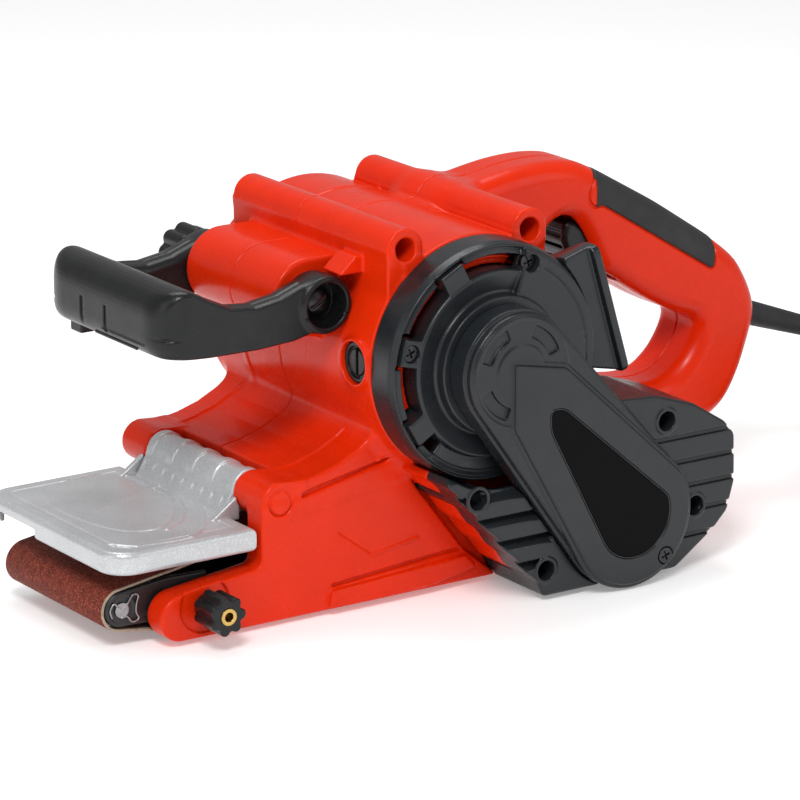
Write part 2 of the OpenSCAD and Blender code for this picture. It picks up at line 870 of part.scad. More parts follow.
module cover_hinge_pin() {
    color(steel) rod_y(hinge, hinge_pin_r, -46, 54);
}

// ---- Front handle ----

arm_near = [-38.5, boss_near - gap];
arm_far = [boss_far + gap, 56];

module front_handle() {
    front = -86;
    grip_rear = -61;
    corner = 17;
    side_view = concat(
        arc([-78, 117.5], 8, 180, 270, 8), [[-62, 108.6], [-40, 108.4], [-24, 109.4]],
        arc(boss, cup_r, 250, 450, 24),
        [[-20, 131.8], [-30, 128.2], [-42, 126.4], [-52, 127.4], [-62, 132]],
        arc([-74, 125], 12, 60, 180, 12)
    );
    plan = concat(
        [[10, arm_near[0]], [10, arm_far[1]]],
        arc([front + corner, arm_far[1] - corner], corner, 90, 180, 12),
        arc([front + corner, arm_near[0] + corner], corner, 180, 270, 12)
    );
    inner = 9;
    hole = concat(
        [[12, arm_near[1]], [12, arm_far[0]]],
        arc([grip_rear + inner, arm_far[0] - inner], inner, 90, 180, 8),
        arc([grip_rear + inner, arm_near[1] + inner], inner, 180, 270, 8)
    );
    color(black) difference() {
        intersection() {
            in_xz(arm_near[0], arm_far[1]) polygon(side_view);
            translate([0, 0, 100]) linear_extrude(height = 45) difference() {
                polygon(plan);
                polygon(hole);
            }
        }
        rod_y(boss, 9, arm_near[0] - eps, -28);
        rod_y(boss, bolt_r, -40, 60);
        for (y = [19, 37]) translate([front - 1, y, 108]) cube([3, 3, 17]);
    }
    color(black) in_xz(46, 55) polygon([[-72, 101.5], [-62, 101.5], [-62, 109], [-72, 109.6]]);
}

module handle_bolt() {
    color(silver) {
        rod_y(boss, bolt_r, -33, 66);
        ring_y(boss, 6.4, bolt_r, -30.2, -28);
    }
}

module clamp_knob() {
    lobes = 8;
    color(black) difference() {
        in_xz(arm_far[1] + gap, 71) translate(boss) {
            circle(r = 9.6, $fn = round_fn);
            for (i = [0 : lobes - 1]) rotate(360 * i / lobes) translate([7.9, 0])
                circle(r = 3.6, $fn = 24);
        }
        rod_y(boss, bolt_r + running, 50, 67);
    }
}

// ---- Trigger, switch and rear handle fittings ----

trigger_near = seam_y - 11;
trigger_far = seam_y + 11;

module trigger() {
    color(black) difference() {
        in_xz(trigger_near, trigger_far) polygon([
            [131, 129], [129.5, 122], [132, 114], [139, 105.5], [147.5, 100.5], [152, 104.5],
            [157.5, 106], [157, 116], [146, 121], [137, 128.5]
        ]);
        rod_y(trigger_pivot, trigger_pin_r + running, -20, 40);
    }
}

module trigger_pin() {
    color(steel) rod_y(trigger_pivot, trigger_pin_r, seam_y - 14, seam_y + 14);
}

module trigger_spring() {
    color(silver) in_xz(seam_y - 3, seam_y + 3) polygon([
        [158, 124.8], [149, 133.2], [146.2, 124.2], [147, 123.9], [149.4, 131.6], [157.4, 124.2]
    ]);
}

module lock_button() {
    color(black) rod_y(lock_at, 4.5, handle_far - 6.5, handle_far + 3.5);
}

module power_switch() {
    color(dark) translate([171, seam_y - 9, 98]) cube([16, 18, 14]);
}

module pad_shape() {
    flap = 10;
    flap_t = 2.4;
    difference() {
        in_xz(handle_near - eps, handle_far + eps) polygon(back_band(-3, flap));
        in_xz(handle_near + flap_t, handle_far - flap_t) polygon(back_band(pad_t, flap + 5));
    }
}

module handle_pad() {
    color("#26282a") intersection() {
        pad_shape();
        in_xz(handle_near, handle_far) polygon(handle_outline);
    }
}

// ---- Mains cord ----

module strain_relief() {
    ribs = 6;
    color(black) translate([exit[0], seam_y, exit[1]]) rotate([0, 90 + exit_slope, 0]) {
        translate([0, 0, -12]) cylinder(r = boot_r, h = 14, $fn = round_fn);
        rotate_extrude($fn = 48) polygon(concat(
            [[0, 2], [boot_r, 2]],
            [for (i = [0 : ribs - 1], step = [0 : 1])
                let (t = (i + step * 0.75) / ribs, r = boot_r + (boot_tip_r - boot_r) * t)
                [r - step * 0.3, 3 + (boot_len - 3) * t]],
            [[boot_tip_r, boot_len], [0, boot_len]]
        ));
    }
}

// Sweeps a tube of the cord's diameter along a route, with one ring at each point
module cord_along(route) {
    sides = 8;
    last = len(route) - 1;
    up = [0, 0, 1];
    points = [for (i = [0 : last])
        let (
            along = route[min(i + 1, last)] - route[max(i - 1, 0)],
            ahead = along / norm(along),
            across = cross(ahead, up) / norm(cross(ahead, up)),
            over = cross(across, ahead)
        )
        for (k = [0 : sides - 1])
            route[i] + cord_d / 2 * (cos(360 * k / sides) * across + sin(360 * k / sides) * over)];
    skin = [for (i = [0 : last - 1], k = [0 : sides - 1])
        [i * sides + k, (i + 1) * sides + k, (i + 1) * sides + (k + 1) % sides,
         i * sides + (k + 1) % sides]];
    color(black) polyhedron(points, concat(
        skin, [[for (k = [0 : sides - 1]) k], [for (k = [sides - 1 : -1 : 0]) last * sides + k]]
    ));
}

module cord_tube() {
    cord_along(cord_route);
}

module cord_tail() {
    cord_along(tail_route);
}

module cord_coil() {
    half = cord_d / 2;
    inner = coil_r - cord_d - 0.5 - half;
    outer = coil_r + half;
    top = coil_layers * cord_d + 0.4;
    color(black) translate([coil_at[0], coil_at[1], 0]) rotate_extrude($fn = round_fn)
        polygon([[inner, 1], [inner + 1, 0], [outer - 1, 0], [outer, 1], [outer, top - 1],
                 [outer - 1, top], [inner + 1, top], [inner, top - 1]]);
}

module plug_body() {
    neck = 8;
    color(black) translate(plug_at) rotate([0, 0, plug_turn]) rotate([0, 90, 0]) {
        cylinder(r = 6, h = neck, $fn = round_fn);
        translate([0, 0, neck]) linear_extrude(height = plug_len - neck) {
            for (side = [-1, 1]) translate([0, side * (plug_w / 2 - plug_h / 2 + 2)])
                circle(r = plug_h / 2 - 2, $fn = round_fn);
            square([plug_h - 4, plug_w - plug_h + 4], center = true);
        }
    }
}

module plug_pins() {
    color(silver) translate(plug_at) rotate([0, 0, plug_turn]) rotate([0, 90, 0])
        for (side = [-1, 1]) translate([0, side * 9.5, plug_len])
            cylinder(r = 2.4, h = 19, $fn = round_fn);
}

near_housing();
far_housing();
base_frame();
platen();
platen_pad();
sanding_belt();
front_yoke();
front_axle();
axle_clips();
front_roller();
tension_spring();
tension_lever();
lever_pin();
tracking_knob();
tracking_insert();
tracking_stud();
drive_roller();
roller_sleeve();
drive_shaft();
shaft_bearings();
drive_pulley();
drive_belt();
motor_pulley();
rotor_shaft();
armature_core();
commutator();
cooling_fan();
motor_bearings();
stator_core();
field_windings();
carbon_brushes();
brush_holders();
brush_caps();
motor_end_cover();
dust_outlet();
drive_cover_base();
drive_cover_arm();
cover_inlay();
cover_base_screws();
end_cover_screws();
arm_screw();
housing_screws();
front_cover();
cover_hinge_pin();
front_handle();
handle_bolt();
clamp_knob();
trigger();
trigger_pin();
trigger_spring();
lock_button();
power_switch();
handle_pad();
strain_relief();
cord_tube();
cord_coil();
cord_tail();
plug_body();
plug_pins();
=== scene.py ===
"""Handheld belt sander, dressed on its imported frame.

Sizes in this file are millimetres in the row frame, and meshes are scaled to metres when made.
Outlines are [x, z] points unless they say otherwise. Moulded pieces are distance fields,
so that their edges and joins carry real fillets, and are turned into meshes at the end.
"""

import json
import math

import bmesh
import bpy
import numpy as np
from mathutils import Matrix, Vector


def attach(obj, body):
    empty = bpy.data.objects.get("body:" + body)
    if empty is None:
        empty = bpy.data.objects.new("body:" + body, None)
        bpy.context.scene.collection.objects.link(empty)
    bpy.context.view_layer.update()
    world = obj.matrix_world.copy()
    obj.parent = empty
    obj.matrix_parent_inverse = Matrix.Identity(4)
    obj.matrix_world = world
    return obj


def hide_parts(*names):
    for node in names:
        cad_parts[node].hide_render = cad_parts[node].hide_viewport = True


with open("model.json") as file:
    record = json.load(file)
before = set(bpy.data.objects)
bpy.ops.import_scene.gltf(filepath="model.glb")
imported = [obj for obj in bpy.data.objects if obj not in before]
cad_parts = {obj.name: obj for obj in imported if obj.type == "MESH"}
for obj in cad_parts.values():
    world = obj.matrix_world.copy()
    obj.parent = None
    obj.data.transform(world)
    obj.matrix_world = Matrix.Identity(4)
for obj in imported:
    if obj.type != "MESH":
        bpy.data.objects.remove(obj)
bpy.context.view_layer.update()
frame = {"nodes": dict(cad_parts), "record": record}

MM = 0.001
FLOAT = np.float32

# ---------------------------------------------------------------- flat shapes


class Flat:
    """A signed distance in a plane, with the corners of the box that holds it."""

    def __init__(self, distance, low, high):
        self.distance, self.low, self.high = distance, low, high

    def join(self, other, fillet=0):
        return Flat(
            lambda u, v: smooth_min(self.distance(u, v), other.distance(u, v), fillet),
            np.minimum(self.low, other.low),
            np.maximum(self.high, other.high),
        )

    def without(self, other, fillet=0):
        return Flat(
            lambda u, v: -smooth_min(-self.distance(u, v), other.distance(u, v), fillet),
            self.low,
            self.high,
        )

    def within(self, other, fillet=0):
        return Flat(
            lambda u, v: -smooth_min(-self.distance(u, v), -other.distance(u, v), fillet),
            np.maximum(self.low, other.low),
            np.minimum(self.high, other.high),
        )

    def grow(self, by):
        return Flat(lambda u, v: self.distance(u, v) - by, self.low - by, self.high + by)

    __or__ = join
    __sub__ = without


def smooth_min(a, b, k):
    if k <= 0:
        return np.minimum(a, b)
    t = np.clip(0.5 + 0.5 * (b - a) / k, 0, 1)
    return b + (a - b) * t - k * t * (1 - t)


def circle(c, r):
    c = np.array(c, FLOAT)
    return Flat(lambda u, v: np.hypot(u - c[0], v - c[1]) - r, c - r, c + r)


def ring(c, outer, inner):
    return circle(c, outer) - circle(c, inner)


def polygon(points):
    p = np.array(points, FLOAT)

    def distance(u, v):
        u, v = np.broadcast_arrays(u, v)
        best = np.full(u.shape, 1e9, FLOAT)
        sign = np.ones(u.shape, FLOAT)
        for a, b in zip(p, np.roll(p, -1, 0)):
            e = b - a
            wu, wv = u - a[0], v - a[1]
            t = np.clip((wu * e[0] + wv * e[1]) / max(float(e @ e), 1e-9), 0, 1)
            best = np.minimum(best, (wu - e[0] * t) ** 2 + (wv - e[1] * t) ** 2)
            above, below, side = v >= a[1], v < b[1], e[0] * wv > e[1] * wu
            flips = (above & below & side) | ~(above | below | side)
            sign = np.where(flips, -sign, sign)
        return sign * np.sqrt(best)

    low, high = p.min(0), p.max(0)
    return Flat(distance, low, high)


def box(u0, v0, u1, v1):
    return polygon([(u0, v0), (u1, v0), (u1, v1), (u0, v1)])


def softened(points, cuts=2, keep=0.25):
    """The outline with its corners cut again and again, so that it runs in curves."""
    p = np.array(points, float)
    for _ in range(cuts):
        q = np.roll(p, -1, 0)
        p = np.stack([p + (q - p) * keep, p + (q - p) * (1 - keep)], 1).reshape(-1, 2)
    return p


def rounded(points, reach, steps=3):
    """The outline with each corner replaced by a curve that starts that far from it."""
    p = np.array(points, float)
    out = []
    for a, b, c in zip(np.roll(p, 1, 0), p, np.roll(p, -1, 0)):
        start = b + (a - b) * min(reach / max(np.hypot(*(a - b)), 1e-6), 0.45)
        end = b + (c - b) * min(reach / max(np.hypot(*(c - b)), 1e-6), 0.45)
        for t in np.linspace(0, 1, steps + 1):
            out.append(start * (1 - t) ** 2 + 2 * b * t * (1 - t) + end * t * t)
    return np.array(out)


def stroke(points, width):
    """A line of that width along some points."""
    p = np.array(points, FLOAT)

    def distance(u, v):
        best = None
        for a, b in zip(p[:-1], p[1:]):
            e = b - a
            wu, wv = u - a[0], v - a[1]
            t = np.clip((wu * e[0] + wv * e[1]) / float(e @ e), 0, 1)
            away = (wu - e[0] * t) ** 2 + (wv - e[1] * t) ** 2
            best = away if best is None else np.minimum(best, away)
        return np.sqrt(best) - FLOAT(width / 2)

    return Flat(distance, p.min(0) - width, p.max(0) + width)


def unit(a):
    return np.array([math.cos(math.radians(a)), math.sin(math.radians(a))])


def arc(c, r, start, end, steps):
    return [np.array(c) + r * unit(a) for a in np.linspace(start, end, steps + 1)]


def heading(v):
    return math.degrees(math.atan2(v[1], v[0]))


def touch(c1, r1, c2, r2, side):
    d = np.array(c2, float) - np.array(c1, float)
    return heading(d) + side * math.degrees(math.acos((r1 - r2) / np.hypot(*d)))


def two_wheels(c1, r1, c2, r2, steps=32):
    up, down = touch(c1, r1, c2, r2, 1), touch(c1, r1, c2, r2, -1)
    return arc(c1, r1, up, 360 + down, steps) + arc(c2, r2, down, up, steps)


# --------------------------------------------------------------- solid shapes


class Solid:
    """A signed distance in space, with the corners of the box that holds it."""

    def __init__(self, distance, low, high):
        self.distance = distance
        self.low, self.high = np.array(low, float), np.array(high, float)


def prism(flat, start, end, edge=0, axis=1):
    """A flat shape drawn out along an axis, its edges rounded."""
    middle, half = (start + end) / 2, (end - start) / 2
    others = [i for i in range(3) if i != axis]

    def distance(*xyz):
        u, v = (xyz[i] for i in others)
        u, v = np.squeeze(u, axis), np.squeeze(v, axis)
        across = np.expand_dims(flat.distance(u, v), axis) + FLOAT(edge)
        along = np.abs(xyz[axis] - FLOAT(middle)) - FLOAT(half - edge)
        inside = np.minimum(np.maximum(across, along), 0)
        outside = np.hypot(np.maximum(across, 0), np.maximum(along, 0))
        return inside + outside - FLOAT(edge)

    low, high = np.zeros(3), np.zeros(3)
    low[others], high[others] = flat.low, flat.high
    low[axis], high[axis] = start, end
    return Solid(distance, low, high)


def slab(points, start, end, edge=0, axis=1):
    return prism(polygon(points), start, end, edge, axis)


def disc(c, r, start, end, edge=0):
    return prism(circle(c, r), start, end, edge)


def pipe(c, outer, inner, start, end, edge=0):
    return prism(ring(c, outer, inner), start, end, edge)


def rod(a, b, r, edge=0):
    """A round bar between two points."""
    a, b = np.array(a, float), np.array(b, float)
    length = np.linalg.norm(b - a)
    ahead = (b - a) / length

    def distance(x, y, z):
        p = [x - FLOAT(a[0]), y - FLOAT(a[1]), z - FLOAT(a[2])]
        t = sum(q * FLOAT(n) for q, n in zip(p, ahead))
        away = np.sqrt(np.maximum(sum(q * q for q in p) - t * t, 0)) - FLOAT(r - edge)
        along = np.abs(t - FLOAT(length / 2)) - FLOAT(length / 2 - edge)
        inside = np.minimum(np.maximum(away, along), 0)
        return inside + np.hypot(np.maximum(away, 0), np.maximum(along, 0)) - FLOAT(edge)

    return Solid(distance, np.minimum(a, b) - r, np.maximum(a, b) + r)


def ball(c, r):
    c = np.array(c, float)

    def distance(x, y, z):
        return np.sqrt((x - c[0]) ** 2 + (y - c[1]) ** 2 + (z - c[2]) ** 2) - r

    return Solid(distance, c - r, c + r)


def lathe(profile, c, axis=1):
    """A profile of [radius, position along the axis] points turned about an axis."""
    section = polygon(profile)
    others = [i for i in range(3) if i != axis]
    reach = section.high[0]

    def distance(*xyz):
        out = np.sqrt(sum((xyz[i] - FLOAT(c[i])) ** 2 for i in others))
        return section.distance(out, xyz[axis] - FLOAT(c[axis]))

    low, high = np.zeros(3), np.zeros(3)
    for i in others:
        low[i], high[i] = c[i] - reach, c[i] + reach
    low[axis], high[axis] = c[axis] + section.low[1], c[axis] + section.high[1]
    return Solid(distance, low, high)


CORNERS = [(i, j, k) for i in (0, 1) for j in (0, 1) for k in (0, 1)]
EDGES = [
    (a, b) for a in CORNERS for b in CORNERS if a < b and sum(abs(p - q) for p, q in zip(a, b)) == 1
]


class Field:
    """A block of distances that solids are added to and cut from."""

    def __init__(self, low, high, step):
        self.step = step
        self.low = np.array(low, float) - 3 * step
        count = np.ceil((np.array(high, float) + 3 * step - self.low) / step).astype(int) + 1
        self.axes = [(a + step * np.arange(n)).astype(FLOAT) for a, n in zip(self.low, count)]
        self.d = np.full(count, 50, FLOAT)

    def _part(self, solid, margin):
        cut = []
        for i in range(3):
            first = int((solid.low[i] - margin - self.low[i]) / self.step)
            last = int((solid.high[i] + margin - self.low[i]) / self.step) + 2
            cut.append(slice(max(first, 0), max(min(last, self.d.shape[i]), 0)))
        return tuple(cut)

    def _grid(self, cut):
        return [
            self.axes[i][cut[i]].reshape([-1 if j == i else 1 for j in range(3)]) for i in range(3)
        ]

    def _whole(self):
        return self._grid(tuple(slice(0, n) for n in self.d.shape))

    def _apply(self, solid, change, margin):
        cut = self._part(solid, margin)
        if all(s.stop > s.start for s in cut):
            self.d[cut] = change(self.d[cut], solid.distance(*self._grid(cut)))

    def add(self, solid, fillet=0):
        self._apply(solid, lambda d, s: smooth_min(d, s, fillet), fillet + 4)

    def cut(self, solid, fillet=0):
        self._apply(solid, lambda d, s: -smooth_min(-d, s, fillet), fillet + 4)

    def keep(self, solid, fillet=0):
        self.d = -smooth_min(-self.d, -solid.distance(*self._whole()), fillet)

    def beyond(self, axis, at, side, edge=0):
        """Keeps only what lies below a plane, or above it where side is -1."""
        self.d = -smooth_min(-self.d, (FLOAT(at) - self._whole()[axis]) * side, edge)

    def sample(self, p):
        """Distances at points counted in steps from the block's corner."""
        limit = np.array(self.d.shape) - 2
        base = np.clip(np.floor(p).astype(np.int32), 0, limit)
        t = (p - base).astype(FLOAT)
        total = np.zeros(len(p), FLOAT)
        for corner in CORNERS:
            weight = np.ones(len(p), FLOAT)
            for i in range(3):
                weight *= t[:, i] if corner[i] else 1 - t[:, i]
            total += weight * self.d[tuple((base + corner).T)]
        return total

    def slope(self, p, reach=0.6):
        rise = np.empty((len(p), 3), FLOAT)
        for i in range(3):
            shift = np.zeros(3, FLOAT)
            shift[i] = reach
            rise[:, i] = (self.sample(p + shift) - self.sample(p - shift)) / (2 * reach)
        return rise

    def surface(self):
        """Points, four-sided faces and normals of the zero surface."""
        d = self.d
        inside = d < 0
        shape = np.array(d.shape) - 1
        count = np.zeros(shape, np.uint8)
        for c in CORNERS:
            count += inside[tuple(slice(c[i], c[i] + shape[i]) for i in range(3))]
        mixed = (count > 0) & (count < 8)
        cells = np.argwhere(mixed).astype(np.int32)
        number = np.full(shape, -1, np.int32)
        number[mixed] = np.arange(len(cells), dtype=np.int32)
        total = np.zeros((len(cells), 3), FLOAT)
        hits = np.zeros(len(cells), FLOAT)
        for a, b in EDGES:
            va, vb = d[tuple((cells + a).T)], d[tuple((cells + b).T)]
            crosses = (va < 0) != (vb < 0)
            t = np.where(crosses, va / np.where(crosses, va - vb, 1), 0)
            for i in range(3):
                total[:, i] += np.where(crosses, a[i] + t * (b[i] - a[i]), 0)
            hits += crosses
        p = cells + total / hits[:, None]
        for _ in range(2):
            rise = self.slope(p)
            size = np.maximum((rise**2).sum(1), 0.2)
            move = rise * (self.sample(p) / size)[:, None]
            p = p - np.clip(move, -0.5, 0.5)
        normals = self.slope(p)
        normals /= np.maximum(np.linalg.norm(normals, axis=1), 1e-6)[:, None]
        faces = []
        for axis in range(3):
            others = [(axis + 1) % 3, (axis + 2) % 3]
            low = [slice(1, -1)] * 3
            high = [slice(1, -1)] * 3
            low[axis], high[axis] = slice(0, -1), slice(1, None)
            one, two = inside[tuple(low)], inside[tuple(high)]
            at = np.argwhere(one != two).astype(np.int32)
            for i in others:
                at[:, i] += 1
            corners = []
            for step in ((0, 0), (-1, 0), (-1, -1), (0, -1)):
                cell = at.copy()
                cell[:, others[0]] += step[0]
                cell[:, others[1]] += step[1]
                corners.append(number[tuple(cell.T)])
            quad = np.stack(corners, 1)
            outwards = inside[tuple(at.T)]
            faces.append(np.where(outwards[:, None], quad, quad[:, ::-1]))
        faces = np.concatenate(faces)
        return (self.low + p * self.step).astype(FLOAT), faces, normals


# ------------------------------------------------------------ making objects


def linked(name, mesh, *materials):
    """The smooth-shaded object of a mesh, in the scene."""
    mesh.polygons.foreach_set("use_smooth", np.ones(len(mesh.polygons), bool))
    for material in materials:
        mesh.materials.append(material)
    obj = bpy.data.objects.new(name, mesh)
    bpy.context.scene.collection.objects.link(obj)
    return obj


def from_field(name, field, material):
    """The object of a field's surface, with the field's own slopes as its normals."""
    points, faces, normals = field.surface()
    mesh = bpy.data.meshes.new(name)
    mesh.vertices.add(len(points))
    mesh.vertices.foreach_set("co", (points * MM).astype(FLOAT).ravel())
    mesh.loops.add(faces.size)
    mesh.loops.foreach_set("vertex_index", faces.astype(np.int32).ravel())
    mesh.polygons.add(len(faces))
    mesh.polygons.foreach_set("loop_start", np.arange(0, faces.size, 4, dtype=np.int32))
    mesh.update(calc_edges=True)
    mesh.validate()
    obj = linked(name, mesh, material)
    mesh.normals_split_custom_set_from_vertices(normals)
    return obj


def make_shape(name, points, faces, *materials):
    """An object whose faces may have any number of sides."""
    mesh = bpy.data.meshes.new(name)
    mesh.from_pydata([tuple(np.array(q) * MM) for q in points], [], faces)
    mesh.update()
    return linked(name, mesh, *materials)


def between_loops(loops, around, closed=False):
    """Four-sided faces that join each loop of points to the next one."""
    faces = []
    for i in range(loops if closed else loops - 1):
        this, after = i * around, (i + 1) % loops * around
        for k, n in ((k, (k + 1) % around) for k in range(around)):
            faces.append((this + k, this + n, after + n, after + k))
    return faces


def split_edges(obj, angle):
    obj.modifiers.new("edges", "EDGE_SPLIT").split_angle = math.radians(angle)


# ---------------------------------------------------------------- dimensions

MOTOR = np.array([46.0, 98.5])
DRIVE = np.array([103.5, 29.0])
NOSE = np.array([-105.0, 15.3])
HINGE = np.array([-39.9, 50.3])
BOSS = np.array([-10.0, 122.5])
ARM_END = np.array([100.5, 30.3])
SEAM = 8.0
BARREL_R, BARREL_NEAR, BARREL_FAR = 49.0, -57.0, 67.0
CLAMP_X = (14.0, 73.2)
CLAMP_Z = 145.5
HANDLE_NEAR, HANDLE_FAR = -9.0, 25.0
PLATE_NEAR, PLATE_INNER, PLATE_REAR = -50.0, -38.4, -46.0
TRACKING = np.array([-74.7, 15.0])
BRUSH_Y, BRUSH_Z, CAP_TOP = -47.0, 100.5, 48.6
LOCK_AT = np.array([166.0, 114.0])
TRIGGER_PIVOT = np.array([152.0, 111.0])
HANDLE_SCREWS = [(118, 147), (188, 101), (214, 72), (192, 44)]
SCREW_HOLES = [(30, 48), (63, 13), (122, 65), (137, 27)]
ARM_SCREW = np.array([116.7, 11.5])
ARM_FACE, ARM_BACK = -92.0, -77.5
BASE_FACE = -84.0
RIM_STEP = -68.0
COVER_TOP, COVER_BOTTOM = 42.0, 32.0
HALF_FACE = 65.0

# The mains lead
EXIT = np.array([226.0, SEAM, 75.5])
EXIT_SLOPE = 19.0
AHEAD = np.array([math.cos(math.radians(EXIT_SLOPE)), 0, -math.sin(math.radians(EXIT_SLOPE))])
CORD_D = 7.5
BOOT_LEN = 45.0
COIL_AT = np.array([296.0, -58.0])
COIL_OUTER, COIL_INNER = 46.0, 38.0
PLUG_AT = np.array([294.0, 23.3, 11.0])
PLUG_TURN = 30.0
CORD_ROUTE = [
    (268.5, 8, 60.8), (278, 8, 57), (287, 8, 51), (296, 7.5, 43), (304, 6.5, 34), (311, 5, 25),
    (317, 3, 17.5), (323.5, -0.5, 11), (330, -6, 6.5), (335.5, -13.5, 4.2), (339.5, -22, 3.8),
    (342, -32, 3.8), (343, -44, 3.8),
]
TAIL_ROUTE = [
    (250.5, -47, 26.2), (252, -36, 24), (254.5, -26, 19.5), (258, -16, 14), (262, -6.5, 8.5),
    (267, 2.5, 5), (273.5, 10.5, 4.6), (281, 16.5, 7), (288.5, 20.5, 10), (294, 23.3, 11),
]

SPOKES = ((118, 11), (166, 11), (211, 10))  # direction and width

# Outlines, anticlockwise
HANDLE_OUTLINE = (
    [(92, 70)]
    + arc(DRIVE, 30.5, 88, 5, 12)
    + [(150, 30), (194, 31), (205, 33.5), (214, 40), (221, 52), (226, 66), (229, 76), (228, 84)]
    + [(224, 93), (218, 102.5), (205, 112.5), (176, 131.5), (149, 147), (141, 151.5), (133, 155)]
    + [(120, 156.4), (106, 155.8), (95, 154.3), (80, 151.5), (62, 147), (60, 120)]
)
LOOP_OUTLINE = [
    (113, 69), (130, 63), (150, 57), (172, 53.5), (182, 55), (190, 61), (195, 68), (198, 75),
    (196, 79.5), (187, 82.5), (173, 89.5), (152, 103), (130, 116), (112, 118),
]
ARCH_OUTLINE = [
    (113, 108), (132, 98), (147, 104), (139, 122), (133, 130.5), (127.5, 132.5), (121, 130),
    (116, 124),
]
APRON_OUTLINE = [
    (-31, 43), (20, 50.5), (70, 55.2), (70, 85), (25, 85), (4.8, 71.7), (-3, 66.2), (-12, 61.8),
    (-22, 58.8), (-31, 57.3),
]
PLATE_OUTLINE = (
    [(64, 2), (47.6, 15), (20, 51.3), (20, 57), (9, 58.2), (-12, 54.5), (-31, 50)]
    + [(-48.3, 50), (-48.6, 25.4)]
    + arc((-85, 11.5), 9.5, 98, 262, 24)
    + [(-84, 2)]
)
STRIP_OUTLINE = [(-18.5, 3), (10, 3), (31.6, 4), (52, 8), (47, 13.6), (-17, 10.3)]
BASE_OUTLINE = [
    (62, 2), (128, 2), (147, 15), (154, 22), (157.5, 34), (157, 54), (152, 60), (136, 70),
    (118, 76), (60, 80), (25, 69),
] + [p for i in range(1, 6) for p in ((6 + 9.5 * i, 66 - 10.5 * i), (11 + 9.5 * i, 62 - 10.5 * i))]
END_SCREWS = [MOTOR + 41.3 * unit(166), MOTOR + 41.6 * unit(68.3)]
BACK_START, BACK_END = np.array([143.9, 150.1]), np.array([209.8, 109.5])


def pad_flat():
    """The outline of the handle's pad: a band under its back, with a prong at the front."""
    d = (BACK_END - BACK_START) / np.hypot(*(BACK_END - BACK_START))
    n = np.array([-d[1], d[0]])
    edge = [(-0.4, -8), (-0.4, 10.6), (1.8, 14), (6, 14.4), (8.6, 11.8), (77, 11.8), (69, -8)]
    return polygon(rounded([BACK_START + d * a - n * b for a, b in edge], 2.2))


def sector(start, end, inner, outer):
    return arc(MOTOR, outer, start, end, 24) + arc(MOTOR, inner, end, start, 24)


# -------------------------------------------------------------------- camera


def aimed(name, data, place, aim):
    obj = bpy.data.objects.new(name, data)
    obj.location = place
    obj.rotation_euler = (Vector(aim) - Vector(place)).to_track_quat("-Z", "Y").to_euler()
    bpy.context.scene.collection.objects.link(obj)
    return obj


def make_camera():
    target = Vector((0.04998, 0, 0.06526))
    turn, rise, away = math.radians(34.11), math.radians(16.26), 1.89749
    level = math.cos(rise)
    ahead = Vector((math.sin(turn) * level, math.cos(turn) * level, -math.sin(rise)))
    data = bpy.data.cameras.new("camera")
    data.sensor_width, data.lens = 36.0, 210.07
    data.clip_start, data.clip_end = 0.05, 50
    bpy.context.scene.camera = aimed("camera", data, target - ahead * away, target)
    bpy.context.view_layer.update()


# Metres and watts: name, place, size, power
LIGHTS = (
    ("key", (-0.75, -0.9, 1.35), (0.5, 0.5), 16),
    ("fill", (0.95, -1.25, 0.75), (0.5, 1.1), 3.6),
    ("top", (0.2, 0.5, 1.5), (0.9, 0.7), 9.5),
    ("front", (-1.5, -0.1, 0.55), (0.7, 0.9), 2.5),
)
LIGHTS_AIM = (0.06, 0, 0.08)
WORLD_LIGHT, FLOOR_GLOW, FLOOR_WIDTH, FLOOR_LEVEL = 0.4, 0.24, 12, -0.0002


def make_studio():
    bpy.context.scene.view_settings.view_transform = "Standard"
    world = bpy.data.worlds.new("studio")
    world.use_nodes = True
    back = world.node_tree.nodes["Background"]
    back.inputs["Color"].default_value = (1, 1, 1, 1)
    back.inputs["Strength"].default_value = WORLD_LIGHT
    bpy.context.scene.world = world
    for name, place, size, power in LIGHTS:
        data = bpy.data.lights.new(name, "AREA")
        data.shape, data.energy = "RECTANGLE", power
        data.size, data.size_y = size
        aimed(name, data, place, LIGHTS_AIM)
    bpy.ops.mesh.primitive_plane_add(size=FLOOR_WIDTH, location=(0, 0, FLOOR_LEVEL))
    floor = bpy.context.object
    floor.name = "floor"
    mat = bpy.data.materials.new("floor")
    mat.use_nodes = True
    for socket, value in (
        ("Base Color", (0.96, 0.96, 0.96, 1)), ("Emission Color", (1, 1, 1, 1)),
        ("Emission Strength", FLOOR_GLOW), ("Roughness", 0.6), ("Specular IOR Level", 0.2),
    ):
        mat.node_tree.nodes["Principled BSDF"].inputs[socket].default_value = value
    floor.data.materials.append(mat)


# ----------------------------------------------------------------- materials


EVEN = (1, 1, 1)
FINE = (2600, 0.00005, EVEN)
PEEL = (180, 0.00001, EVEN)
BRUSHED = (900, 0.00003, (1, 0.04, 1))


FINISHES = {}


